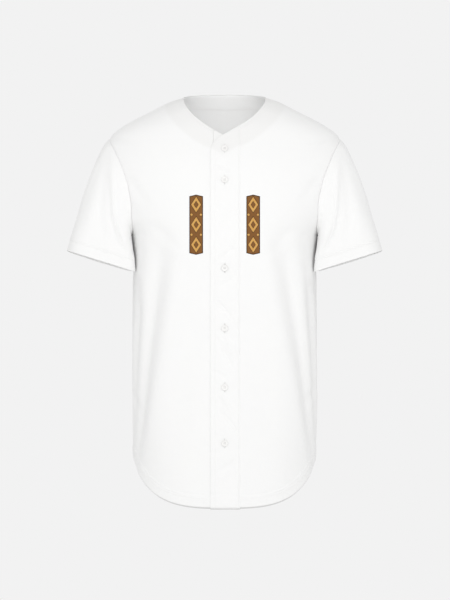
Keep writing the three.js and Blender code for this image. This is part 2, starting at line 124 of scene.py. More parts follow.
def rounding(sine: float, cosine: float, squareness: float) -> float:
    """Stretch that takes a point of a circle to a rounded square."""
    fill = abs(sine) ** squareness + abs(cosine) ** squareness
    return fill ** (-1 / squareness)


def link_piece(name: str, work: bmesh.types.BMesh) -> bpy.types.Object:
    """Make an object with smooth faces from a finished bmesh, and free the bmesh.

    Args:
        name: The object's name.
        work: The bmesh.

    Returns:
        The new object.
    """
    for face in work.faces:
        face.smooth = True
    mesh = bpy.data.meshes.new(name)
    work.to_mesh(mesh)
    work.free()
    piece = bpy.data.objects.new(name, mesh)
    bpy.context.scene.collection.objects.link(piece)
    return piece


class SmoothCurve:
    """A smooth curve through a few places that never swings past their values."""

    def __init__(self, places: Sequence[float], values: Sequence[float]) -> None:
        """Work out the slope at each place.

        Args:
            places: Where the values are known, in rising order.
            values: The value at each place.
        """
        self.places = list(places)
        self.values = list(values)
        last = len(places) - 1
        rises = [
            (values[i + 1] - values[i]) / (places[i + 1] - places[i]) for i in range(last)
        ]
        self.slopes = []
        for i in range(last + 1):
            before = rises[max(i - 1, 0)]
            after = rises[min(i, last - 1)]
            even = 2 * before * after / (before + after) if before * after > 0 else 0.0
            self.slopes.append(even)

    def at(self, place: float) -> float:
        """Value of the curve at a place.

        Args:
            place: The place, which is held within the curve's ends.

        Returns:
            The value there.
        """
        i = min(max(bisect.bisect_right(self.places, place) - 1, 0), len(self.places) - 2)
        span = self.places[i + 1] - self.places[i]
        share = min(max((place - self.places[i]) / span, 0.0), 1.0)
        square = share * share
        cube = square * share
        return (
            (2 * cube - 3 * square + 1) * self.values[i]
            + (cube - 2 * square + share) * span * self.slopes[i]
            + (3 * square - 2 * cube) * self.values[i + 1]
            + (cube - square) * span * self.slopes[i + 1]
        )


# Level sections through the body: height, half width, front depth, back depth, middle
SECTIONS = (
    (-800, 173, 127, 122, 0),
    (-720, 173.5, 126, 121, 0),
    (-640, 174.5, 124, 118, 0),
    (-540, 175.5, 122, 114, 0),
    (-450, 176, 122, 112, 0),
    (-370, 175.5, 126, 115, 0),
    (-310, 174, 130, 120, 1),
    (-265, 178, 132, 124, 2),
    (-227, 200, 131, 126, 3),
    (-172, 218, 126, 124, 5),
    (-121, 229, 116, 119, 7),
    (-96, 227, 108, 113, 8),
    (-79, 220, 101, 108, 8),
    (-71, 214, 98, 105, 8),
    (-56, 195, 92, 101, 8),
    (-41, 168.5, 84, 95, 8),
    (-24, 134, 74, 84, 8),
    (-10.5, 107.7, 62, 72, 8),
    (0, 79, 52, 62, 8),
    (12, 58, 42, 52, 8),
)

# Neck opening seen from the front: height, half width
NECKLINE = (
    (-73, 0),
    (-64, 16),
    (-54, 33),
    (-45, 46),
    (-35, 58),
    (-26, 66.5),
    (-16, 73.5),
    (-7, 77.8),
    (0, 79),
)


@dataclass(frozen=True)
class Crease:
    """A soft trough in the body's cloth, or a ridge where its depth is below 0.

    A turn of 0 is the centre front, 1 the wearer's left side and 2 the centre back.
    """

    low_turn: float
    low_z: float
    high_turn: float
    high_z: float
    width: float
    depth: float
    bow: float = 0.0
    ease: float = 0.3


# The large folds, which the solid frame has too
BODY_FOLDS = (
    Crease(-0.8, -735, -0.41, -215, 17, 7.5, 0.03),
    Crease(-0.9, -700, -0.66, -330, 13, 5, 0.02),
    Crease(-0.55, -700, -0.3, -250, 20, -2.5, 0.03),
    Crease(0.82, -735, 0.36, -205, 16, 7, -0.03),
    Crease(0.92, -700, 0.62, -300, 13, 5, -0.02),
    Crease(0.56, -700, 0.24, -240, 20, -2.5, -0.03),
    Crease(-1.3, -700, -1.55, -240, 18, 6.5, -0.03),
    Crease(-1.15, -620, -1.28, -320, 12, 3.5, 0.02),
    Crease(1.28, -690, 1.57, -225, 18, 7, 0.03),
    Crease(1.12, -640, 1.3, -340, 12, 3.5, -0.02),
    Crease(1.86, -740, 1.9, -420, 16, 3.5, 0.02),
    Crease(-1.84, -730, -1.93, -470, 15, 3, -0.02),
)

# Smaller creases, which lie over the large folds
SMALL_CREASES = (
    Crease(-0.45, -215, -0.57, -150, 9, 1.6),
    Crease(0.45, -205, 0.57, -140, 9, 1.6),
    Crease(-0.3, -300, -0.5, -235, 10, 1.4),
    Crease(0.28, -310, 0.5, -240, 10, 1.3),
    Crease(-0.94, -430, -0.62, -395, 9, 1.6),
    Crease(-0.95, -560, -0.66, -600, 10, 1.8),
    Crease(0.95, -540, 0.62, -585, 10, 1.8),
    Crease(0.93, -380, 0.66, -350, 9, 1.4),
    Crease(-0.35, -640, -0.22, -560, 13, 1.2),
    Crease(0.33, -655, 0.2, -540, 13, 1.2),
    Crease(-1.4, -300, -1.62, -215, 10, 2),
    Crease(1.38, -310, 1.66, -220, 10, 2),
    Crease(1.5, -560, 1.95, -500, 14, 1.6),
    Crease(-1.55, -520, -1.9, -560, 14, 1.5),
    Crease(-1.7, -430, -1.98, -395, 13, 1.6),
    Crease(1.62, -405, 1.9, -440, 13, 1.6),
    Crease(1.8, -150, 1.97, -215, 14, 1.3),
    Crease(-1.78, -160, -1.95, -230, 14, 1.2),
)


@dataclass
class BodyForm:
    """The jersey's body as a surface: a turn around it and a height give a point."""

    squareness: float = 2.4
    front_hem_z: float = -782.0
    back_hem_z: float = -785.0
    hem_rise: float = 97.0
    hem_rise_power: float = 1.6
    v_point: tuple[float, float] = (-3.0, -73.0)
    turn_step: float = 0.004
    height_step: float = 0.5
    rumple: float = 0.9
    rumple_turn: float = 0.2
    rumple_height: float = 90.0
    ridge: float = 0.3
    ridge_away: float = 1.9
    ridge_width: float = 0.8

    def __post_init__(self) -> None:
        """Make the smooth curves of the section table and the neckline."""
        heights = [row[0] for row in SECTIONS]
        curves = [SmoothCurve(heights, [row[i] for row in SECTIONS]) for i in range(1, 5)]
        self.half_width, self.front, self.back, self.middle = curves
        self.neck_half = SmoothCurve(*zip(*NECKLINE))
        self.neck_height = SmoothCurve(
            [row[1] for row in NECKLINE], [row[0] for row in NECKLINE]
        )

    def depth(self, face: Face, z: float) -> float:
        """Depth of a section from its middle to the front or back."""
        return (self.front if face is Face.FRONT else self.back).at(z)

    def quarter(self, face: Face, z: float) -> float:
        """A quarter of the girth, roughly."""
        return math.pi / 4 * (self.half_width.at(z) + self.depth(face, z))

    def plain(self, turn: float, z: float) -> Vector:
        """Point of the smooth body without its folds.

        Args:
            turn: Turn around the body.
            z: Height.

        Returns:
            The point.
        """
        sine = math.sin(turn * HALF_PI)
        cosine = math.cos(turn * HALF_PI)
        reach = rounding(sine, cosine, self.squareness)
        depth = self.depth(Face.FRONT if cosine > 0 else Face.BACK, z)
        x = self.half_width.at(z) * reach * sine
        return Vector((x, self.middle.at(z) - depth * reach * cosine, z))

    def outward(self, turn: float, z: float) -> Vector:
        """Direction out of the smooth body.

        Args:
            turn: Turn around the body.
            z: Height.

        Returns:
            The direction, of length 1.
        """
        across = self.plain(turn + self.turn_step, z) - self.plain(turn - self.turn_step, z)
        up = self.plain(turn, z + self.height_step) - self.plain(turn, z - self.height_step)
        return across.cross(up).normalized()

    def crease_height(self, crease: Crease, turn: float, z: float) -> float:
        """How far one crease moves the cloth out at a place.

        Args:
            crease: The crease.
            turn: Turn around the body.
            z: Height.

        Returns:
            The move, in millimetres, with a slight ridge beside the trough.
        """
        run = (z - crease.low_z) / (crease.high_z - crease.low_z)
        steep = abs(crease.high_z - crease.low_z)
        quarter = self.quarter(Face.FRONT if abs(turn) < 1 else Face.BACK, z)
        level = abs(crease.high_turn - crease.low_turn) * quarter
        if level > steep:
            run = (turn - crease.low_turn) / (crease.high_turn - crease.low_turn)
        if not 0 < run < 1:
            return 0.0
        bow = crease.bow * 4 * run * (1 - run)
        length = math.hypot(level, steep)
        if level > steep:
            middle_z = crease.low_z + (crease.high_z - crease.low_z) * run
            distance = (z - middle_z) * level / length
        else:
            middle = crease.low_turn + (crease.high_turn - crease.low_turn) * run + bow
            distance = (turn - middle) * quarter * steep / length
        if abs(distance) > 4 * crease.width:
            return 0.0
        away = abs(distance) - self.ridge_away * crease.width
        ridge = self.ridge * bell(away, self.ridge_width * crease.width)
        fade = fade_ends(run, 0, crease.ease)
        return crease.depth * fade * (ridge - bell(distance, crease.width))

    def folds(self, turn: float, z: float) -> float:
        """How far all the folds and creases move the cloth out at a place.

        Args:
            turn: Turn around the body.
            z: Height.

        Returns:
            The move, in millimetres.
        """
        total = sum(self.crease_height(crease, turn, z) for crease in BODY_FOLDS)
        total += sum(self.crease_height(crease, turn, z) for crease in SMALL_CREASES)
        place = Vector((turn / self.rumple_turn, z / self.rumple_height, 3.0))
        return total + self.rumple * noise.noise(place)

    def skin(self, turn: float, z: float, lift: float = 0.0) -> Vector:
        """Point of the cloth's outside, moved out by lift."""
        out = self.outward(turn, z)
        return self.plain(turn, z) + out * (self.folds(turn, z) + lift)

    def share_at(self, x: float, z: float) -> float:
        """Share of the way from the centre line to the side, at a distance from the middle plane.

        Args:
            x: The distance, on either side.
            z: Height.

        Returns:
            The share, from 0 to 1.
        """
        wide = min(abs(x) / self.half_width.at(z), 1.0)
        deep = (1 - wide**self.squareness) ** (1 / self.squareness)
        return math.atan2(wide, deep) / HALF_PI

    def turn_of(self, face: Face, side: Side, share: float) -> float:
        """Turn of a share on one side of the front or back."""
        return side.value * (share if face is Face.FRONT else 2 - share)

    def hem_z(self, face: Face, share: float) -> float:
        """Height of the rounded tail's edge.

        Args:
            face: The front or the back.
            share: Share of the way from the centre line to the side.

        Returns:
            The height.
        """
        middle = self.front_hem_z if face is Face.FRONT else self.back_hem_z
        rise = math.sin(HALF_PI * abs(share) ** self.hem_rise_power)
        return middle + (self.hem_rise + self.front_hem_z - middle) * rise * rise

    def neck_reach(self, side: Side, z: float) -> float:
        """Distance of the front neckline from the middle plane, on one side."""
        shift = self.v_point[0] * z / self.v_point[1]
        return self.neck_half.at(z) + side.value * shift

    def neck_z(self, x: float) -> float:
        """Height of the front neckline at a place across the front."""
        return self.neck_height.at(abs(x - self.v_point[0]))


@dataclass
class ArmholeLine:
    """The seam line of a sleeve, as a rounded loop on the body."""

    form: BodyForm
    tip_z: float = -79.0
    underarm_z: float = -265.0
    cut: float = 0.41
    squareness: float = 2.4

    def mark(self, angle: float) -> Mark:
        """Place on a front or back panel, for an angle of 0 at the shoulder and 180 below.

        Args:
            angle: The angle round the armhole, in degrees.

        Returns:
            The mark.
        """
        sine = abs(math.sin(math.radians(angle)))
        cosine = math.cos(math.radians(angle))
        reach = rounding(sine, cosine, self.squareness)
        middle = (self.tip_z + self.underarm_z) / 2
        half = (self.tip_z - self.underarm_z) / 2
        return Mark(1 - self.cut * reach * sine, middle + half * reach * cosine)

    def turn_and_height(self, side: Side, angle: float) -> tuple[float, float]:
        """Place on the body for an angle that goes on to 360 over the back.

        Args:
            side: The side of the wearer.
            angle: The angle round the armhole, in degrees.

        Returns:
            The turn and the height.
        """
        share, z = self.mark(angle)
        face = Face.FRONT if math.sin(math.radians(angle)) >= 0 else Face.BACK
        return self.form.turn_of(face, side, share), z


@dataclass
class ClothGrid:
    """Rows of points of one piece of cloth, with their places on the cloth for the weave."""

    points: list[list[Vector]]
    flat: list[list[tuple[float, float]]]
    masks: dict[str, list[list[float]]] = field(default_factory=dict)
    is_tube: bool = False
    edge_round: float = 0.3
    edge_angle: float = math.radians(50)
    edge_segments: int = 2

    def build(self, name: str, wall: float, inward_hint: Vector) -> bpy.types.Object:
        """Make the piece as a thin shell whose outside passes through the points.

        Args:
            name: The object's name.
            wall: Thickness of the cloth.
            inward_hint: A point inside the garment, which the cloth faces away from.

        Returns:
            The new object.
        """
        rows = len(self.points)
        columns = len(self.points[0])
        work = bmesh.new()
        uv = work.loops.layers.uv.new("cloth")
        layers = {key: work.verts.layers.float.new(key) for key in self.masks}
        bmesh.ops.create_grid(work, x_segments=columns - 1, y_segments=rows - 1, size=1)
        order = sorted(work.verts, key=lambda v: (round(v.co.y, 5), round(v.co.x, 5)))
        places = {}
        for index, vertex in enumerate(order):
            row, column = divmod(index, columns)
            vertex.co = self.points[row][column] * MM
            places[vertex] = self.flat[row][column]
            for key, layer in layers.items():
                vertex[layer] = self.masks[key][row][column]
        for face in work.faces:
            for loop in face.loops:
                loop[uv].uv = places[loop.vert]
        if self.is_tube:
            seam = [order[row * columns] for row in range(rows)]
            seam += [order[row * columns + columns - 1] for row in range(rows)]
            bmesh.ops.remove_doubles(work, verts=seam, dist=0.00001)
        work.normal_update()
        probe = work.faces[:][len(work.faces) // 2]
        if probe.normal.dot(probe.calc_center_median() - inward_hint * MM) < 0:
            bmesh.ops.reverse_faces(work, faces=work.faces[:])
        piece = link_piece(name, work)
        shell = piece.modifiers.new("wall", "SOLIDIFY")
        shell.thickness = wall * MM
        shell.offset = -1
        soften = piece.modifiers.new("edge", "BEVEL")
        soften.width = self.edge_round * MM
        soften.segments = self.edge_segments
        soften.limit_method = "ANGLE"
        soften.angle_limit = self.edge_angle
        return piece


def run_lengths(points: Sequence[Vector]) -> list[float]:
    """Distances along a line of points from its first one.

    Args:
        points: The points.

    Returns:
        One distance for each point.
    """
    lengths = [0.0]
    for before, after in zip(points, points[1:]):
        lengths.append(lengths[-1] + (after - before).length)
    return lengths


class EdgeRuler:
    """Measures how far points are from an edge of a piece of cloth."""

    pitch: float = 1.0

    def __init__(self, edge: Sequence[Vector]) -> None:
        """Lay points a millimetre apart along the edge.

        Args:
            edge: The points of the edge, in order.
        """
        fine = [edge[0]]
        for before, after in zip(edge, edge[1:]):
            count = max(math.ceil((after - before).length / self.pitch), 1)
            fine += [before.lerp(after, (i + 1) / count) for i in range(count)]
        self.tree = kdtree.KDTree(len(fine))
        for i, point in enumerate(fine):
            self.tree.insert(point, i)
        self.tree.balance()

    def distance(self, point: Vector) -> float:
        """Distance of a point from the edge."""
        return self.tree.find(point)[2]


def spread(
    curve: Callable[[float], Mark], place: Callable[[Mark], Vector], shares: Sequence[float]
) -> list[Mark]:
    """Marks at given shares of a curve's length.

    Args:
        curve: Gives a mark for a number from 0 to 1.
        place: Gives the point of a mark.
        shares: Shares of the length, in rising order.

    Returns:
        One mark for each share.
    """
    fine = 240
    lengths = run_lengths([place(curve(i / fine)) for i in range(fine + 1)])
    found = []
    i = 0
    for share in shares:
        goal = share * lengths[-1]
        while i < fine - 1 and lengths[i + 1] < goal:
            i += 1
        part = (goal - lengths[i]) / max(lengths[i + 1] - lengths[i], 1e-9)
        found.append(curve((i + part) / fine))
    return found


@dataclass
class Panel:
    """One flat-cut panel of the body, laid over its form."""

    form: BodyForm
    armhole: ArmholeLine
    face: Face
    side: Side
    edge_x: float = 0.0
    seam_gap: float = 0.06
    columns: int = 64
    hem_rows: int = 22
    side_rows: int = 84
    armhole_rows: int = 44
    shoulder_rows: int = 34
    hem_depth: float = 23.0
    underarm_row_z: float = -350.0
    front_shoulder_row_z: float = -106.0
    back_shoulder_row_z: float = -70.0
    back_neck_z: float = 6.6
    over_shoulder: float = 1.0
    hem_share: float = 0.09
    search_steps: int = 14
    search_margin: float = 0.01
    search_below: float = 10.0
    search_above: float = 5.0

    def place(self, mark: Mark) -> Vector:
        """Point of the smooth body at a mark."""
        return self.form.plain(self.form.turn_of(self.face, self.side, mark.share), mark.z)

    def laid_flat(self, mark: Mark) -> tuple[float, float]:
        """A mark's place on the panel laid flat.

        Args:
            mark: The mark.

        Returns:
            Its distance across from the centre line, and its height.
        """
        outward = abs(self.place(mark).y - self.form.middle.at(mark.z))
        across = mark.share * self.form.quarter(self.face, mark.z)
        return across, mark.z - self.over_shoulder * outward

    def mark_at(self, across: float, height: float) -> Mark:
        """The mark at a place of the panel laid flat, by narrowing down its height.

        Args:
            across: Distance from the centre line on the flat panel.
            height: Height on the flat panel.

        Returns:
            The mark.
        """

        def mark(z: float) -> Mark:
            """The mark that lies across at a height."""
            return Mark(min(across / self.form.quarter(self.face, z), 1.0), z)

        def excess(z: float) -> float:
            """How far the mark at a height lies above the place, laid flat."""
            return self.laid_flat(mark(z))[1] - height

        low = self.form.front_hem_z - self.search_below
        high = self.back_neck_z + self.search_above
        under = excess(low)
        over = excess(high)
        z = low
        for _ in range(self.search_steps):
            z = low - under * (high - low) / (over - under)
            miss = excess(z)
            if abs(miss) < self.search_margin:
                break
            if miss < 0:
                low, under, over = z, miss, over / 2
            else:
                high, over, under = z, miss, under / 2
        return mark(z)

    def row_plan(self, low: float, bend: float, shoulder: float, high: float) -> list[float]:
        """Heights of the rows along one upright edge.

        Args:
            low: Height of the hem.
            bend: Height of the row at the underarm.
            shoulder: Height of the row at the shoulder's tip.
            high: Height of the top.

        Returns:
            The heights, from the hem up.
        """
        band = [
            low + (bend - low) * self.hem_share * i / self.hem_rows
            for i in range(self.hem_rows + 1)
        ]
        return [
            *band,
            *steps(band[-1], bend, self.side_rows),
            *steps(bend, shoulder, self.armhole_rows),
            *[shoulder + (high - shoulder) * t for t in steps(0, 1, self.shoulder_rows)],
        ]

    def side_edge(self) -> list[Mark]:
        """The side seam, armhole and shoulder seam, row by row.

        Returns:
            The marks, from the hem up.
        """
        hem = self.form.hem_z(self.face, 1)
        seam = self.row_plan(hem, self.armhole.underarm_z, 0, 0)
        seam = seam[: self.hem_rows + self.side_rows + 1]
        arc = [self.armhole.mark(angle) for angle in steps(180, 0, self.armhole_rows)]
        shoulder = spread(
            lambda t: Mark(1, self.armhole.tip_z * (1 - t)),
            self.place,
            steps(0, 1, self.shoulder_rows),
        )
        marks = [*[Mark(1, z) for z in seam], *arc, *shoulder]
        trimmed = []
        for share, z in marks:
            trim = self.seam_gap / 2 / (HALF_PI * self.form.depth(self.face, z))
            trimmed.append(Mark(min(share, 1 - trim), z))
        return trimmed

    def outline(self) -> tuple[list[Mark], list[Mark], list[Mark], list[Mark]]:
        """The panel's four edges.

        Returns:
            The marks of the hem, the neckline, the centre edge and the side edge.
        """
        form = self.form
        right = self.side_edge()
        even = [i / self.columns for i in range(self.columns + 1)]
        reach = abs(self.edge_x)
        is_front = self.face is Face.FRONT
        top_z = form.neck_z(self.edge_x) if is_front else self.back_neck_z
        heights = self.row_plan(
            form.front_hem_z if is_front else form.back_hem_z,
            self.underarm_row_z,
            self.front_shoulder_row_z if is_front else self.back_shoulder_row_z,
            top_z,
        )
        left = [Mark(form.share_at(reach, z), z) for z in heights]
        low = left[0].share
        high = right[0].share

        def hem(t: float) -> Mark:
            """The hem's mark at a share of its way from the centre to the side."""
            share = low + (high - low) * t
            return Mark(share, form.hem_z(self.face, share))

        def neck(t: float) -> Mark:
            """The neckline's mark at a share of its way from the centre to the side.

            Args:
                t: The share.

            Returns:
                The mark.
            """
            if not is_front:
                return Mark(right[-1].share * t, top_z * (1 - t * t))
            z = top_z * (1 - t) ** 2
            share = form.share_at(form.neck_reach(self.side, z), z)
            return Mark(min(share, right[-1].share), z)

        return spread(hem, self.place, even), spread(neck, self.place, even), left, right

    def marks(self) -> list[list[Mark]]:
        """Marks of all the rows, blended in from the four edges on the flat panel.

        Returns:
            The rows, from the hem up, each from the centre to the side.
        """
        edges = self.outline()
        bottom, top, left, right = edges
        low, high, near, far = [[self.laid_flat(mark) for mark in edge] for edge in edges]

        def shares(edge: list[tuple[float, float]]) -> list[float]:
            """Shares of an edge's length at its points."""
            lengths = run_lengths([Vector((w, h)) for w, h in edge])
            return [length / lengths[-1] for length in lengths]

        rise = [(a + b) / 2 for a, b in zip(shares(near), shares(far))]
        last_row = len(near) - 1
        last_column = len(low) - 1

        def crossing(k: int, j: int) -> Mark:
            """The mark where a row and a column cross.

            Args:
                k: The row.
                j: The column.

            Returns:
                The mark.
            """
            if k in (0, last_row):
                return (bottom if k == 0 else top)[j]
            if j in (0, last_column):
                return (left if j == 0 else right)[k]
            u = j / last_column
            v = rise[k]
            found = []
            for axis in (0, 1):
                upward = (1 - v) * low[j][axis] + v * high[j][axis]
                sideways = (1 - u) * near[k][axis] + u * far[k][axis]
                low_ends = (1 - u) * low[0][axis] + u * low[-1][axis]
                high_ends = (1 - u) * high[0][axis] + u * high[-1][axis]
                found.append(upward + sideways - (1 - v) * low_ends - v * high_ends)
            return self.mark_at(*found)

        return [[crossing(k, j) for j in range(last_column + 1)] for k in range(last_row + 1)]


@dataclass
class SewnSurface:
    """How sewing shapes a panel: a raised hem, sunk seams and small puckers beside them."""

    hem_relief: float = 1.0
    hem_depth: float = 22.5
    hem_step: float = 1.6
    hem_stitch: float = 20.5
    seam_sink: float = 1.1
    seam_width: float = 2.2
    neck_stitch: float = 5.0
    stitch_sink: float = 0.8
    stitch_width: float = 0.9
    pucker: float = 0.45
    pucker_limit: float = 1.2
    pucker_across: float = 26.0
    pucker_height: float = 9.0
    hem_pucker_reach: float = 13.0
    side_pucker: float = 0.8
    side_pucker_reach: float = 14.0
    neck_pucker: float = 0.5
    neck_pucker_reach: float = 9.0
    edge_round: float = 3.5
    # Where the painted shade on the hem's folded edge begins, as a share of the edge's roll
    hem_edge_shade_mask_from: float = 0.4
    facing_depth: float = 38.0
    facing_shade_soft_edge: float = 4.0

    def lift(self, hem: float, side: float, neck: float, z: float) -> float:
        """How far the sewing moves the cloth out.

        Args:
            hem: Distance from the hem's edge.
            side: Distance from the side, armhole or shoulder seam.
            neck: Distance from the neckline.
            z: Height of the place.

        Returns:
            The move, in millimetres.
        """
        band = self.hem_band(hem, self.hem_step)
        seam = self.seam_sink * bell(side, self.seam_width)
        lines = bell(hem - self.hem_stitch, self.stitch_width)
        lines += bell(neck - self.neck_stitch, self.stitch_width)
        across = self.pucker_across
        ripple = noise.noise(Vector((side / across, z / self.pucker_height, hem / across)))
        near = bell(hem - self.hem_stitch, self.hem_pucker_reach)
        near += self.side_pucker * bell(side, self.side_pucker_reach)
        near += self.neck_pucker * bell(neck, self.neck_pucker_reach)
        near *= 1 - bell(side, self.seam_width)
        near = min(near, self.pucker_limit)
        band -= self.stitch_sink * lines
        return band - seam - self.edge_turn(hem) + self.pucker * ripple * near

    def hem_band(self, hem: float, step: float) -> float:
        """How far the two layers of cloth of a hem stand out, at a distance from its edge."""
        return self.hem_relief * (1 - smoothstep(self.hem_depth, self.hem_depth + step, hem))

    def edge_turn(self, hem: float) -> float:
        """How far the hem's folded edge turns in, at a distance from the edge."""
        inside = min(max(self.edge_round - hem, 0.0), self.edge_round)
        return self.edge_round - math.sqrt(self.edge_round**2 - inside**2)

    def facing_shade_mask(self, neck: float) -> float:
        """Painted shade of the neck facing seen through the thin cloth: one where the facing lies
        behind the cloth, and nothing below it.
        """
        soft = self.facing_shade_soft_edge
        return 1 - smoothstep(self.facing_depth - soft, self.facing_depth + soft, neck)

    def hem_edge_shade_mask(self, hem: float) -> float:
        """Painted shade along the hem's folded edge: one on the edge, and nothing past it."""
        return 1 - smoothstep(self.hem_edge_shade_mask_from * self.edge_round, self.edge_round, hem)


@dataclass
class JerseyBody:
    """The back, the two fronts and the neck facings."""

    form: BodyForm
    armhole: ArmholeLine
    sewn: SewnSurface
    wall: float = 1.3
    facing_wall: float = 1.0
    facing_inset: float = 1.8
    right_edge_x: float = -22.0
    left_edge_x: float = 20.3

    def __post_init__(self) -> None:
        """Start the list of laid panels, which the facings and the stitching follow."""
        self.grids: dict[str, ClothGrid] = {}

    def fill(self, panel: Panel) -> ClothGrid:
        """Lay one front or half of the back over the form.

        Args:
            panel: The panel or half panel.

        Returns:
            Its grid of points.
        """
        form = self.form
        marks = panel.marks()
        smooth = [[panel.place(mark) for mark in row] for row in marks]
        hem_edge = EdgeRuler(smooth[0])
        neck_edge = EdgeRuler(smooth[-1])
        side_edge = EdgeRuler([row[-1] for row in smooth])
        middle_lengths = run_lengths([row[0] for row in smooth])
        points = []
        flat = []
        facing_shade = []
        hem_edge_shade = []
        for marks_row, smooth_row, height in zip(marks, smooth, middle_lengths):
            across = run_lengths(smooth_row)
            points.append([])
            flat.append([])
            facing_shade.append([])
            hem_edge_shade.append([])
            for mark, here, width in zip(marks_row, smooth_row, across):
                turn = form.turn_of(panel.face, panel.side, mark.share)
                hem = hem_edge.distance(here)
                neck = neck_edge.distance(here)
                lift = self.sewn.lift(hem, side_edge.distance(here), neck, mark.z)
                points[-1].append(form.skin(turn, mark.z, lift))
                flat[-1].append((panel.side.value * (abs(panel.edge_x) + width), height))
                # Painted shade of the neck facing, seen through the thin cloth
                facing_shade[-1].append(self.sewn.facing_shade_mask(neck))
                # Painted shade along the hem's folded edge
                hem_edge_shade[-1].append(self.sewn.hem_edge_shade_mask(hem))
        return ClothGrid(points, flat, {"facing_shade": facing_shade, "hem_edge_shade": hem_edge_shade})

    def fronts_and_back(self) -> dict[str, bpy.types.Object]:
        """Build the three panels of the body.

        Returns:
            The pieces by name.
        """
        fronts = (
            ("right_front_cloth", Side.RIGHT, self.right_edge_x),
            ("left_front_cloth", Side.LEFT, self.left_edge_x),
        )
        for name, side, edge in fronts:
            self.grids[name] = self.fill(Panel(self.form, self.armhole, Face.FRONT, side, edge))
        right, left = (self.fill(Panel(self.form, self.armhole, Face.BACK, side)) for side in Side)
        self.grids["back_cloth"] = ClothGrid(
            [a[:0:-1] + b for a, b in zip(right.points, left.points)],
            [a[:0:-1] + b for a, b in zip(right.flat, left.flat)],
            {
                key: [a[:0:-1] + b for a, b in zip(right.masks[key], left.masks[key])]
                for key in right.masks
            },
        )
        return {
            name: grid.build(name, self.wall, TRUNK_MIDDLE) for name, grid in self.grids.items()
        }

    def facing_grid(self, grid: ClothGrid) -> ClothGrid:
        """A strip under a panel's neck edge, made from the panel's own points moved in.

        Args:
            grid: The panel's grid.

        Returns:
            The strip's grid.
        """
        columns = range(len(grid.points[0]))
        middle = len(columns) // 2
        lengths = run_lengths([row[middle] for row in grid.points])
        rows = [k for k, run in enumerate(lengths) if lengths[-1] - run <= self.sewn.facing_depth]
        points = []
        for k in rows:
            line = grid_line(grid, [(k, j) for j in columns], NECK_MIDDLE)
            points.append([here - out * self.facing_inset for here, out in line])
        return ClothGrid(points, [grid.flat[k] for k in rows])

    def facings(self) -> dict[str, bpy.types.Object]:
        """Build the neck facings.

        Returns:
            The pieces by name.
        """
        made = {}
        names = {
            "right_neck_facing_cloth": "right_front_cloth",
            "left_neck_facing_cloth": "left_front_cloth",
            "back_neck_facing_cloth": "back_cloth",
        }
        for name, panel in names.items():
            grid = self.facing_grid(self.grids[panel])
            made[name] = grid.build(name, self.facing_wall, NECK_MIDDLE)
        return made


# Soft creases of the placket between the buttons: x and z of both ends, width, depth
PLACKET_CREASES = (
    (-17, -388, 14, -424, 5.5, 1.1),
    (-14, -450, 22, -490, 5.5, -0.9),
    (-5, -482, 14, -512, 5.0, 1.0),
    (-7, -562, 10, -590, 5.0, -0.9),
    (-7, -598, 26, -640, 5.5, 1.1),
    (15, -288, -9, -312, 5.0, 0.9),
    (-20, -215, 12, -236, 6.0, 0.7),
    (18, -345, -12, -362, 5.0, 0.7),
    (-22, -520, 4, -536, 5.0, 0.6),
    (20, -690, -14, -715, 6.0, 0.7),
    (-18, -128, 10, -140, 5.0, 0.6),
)


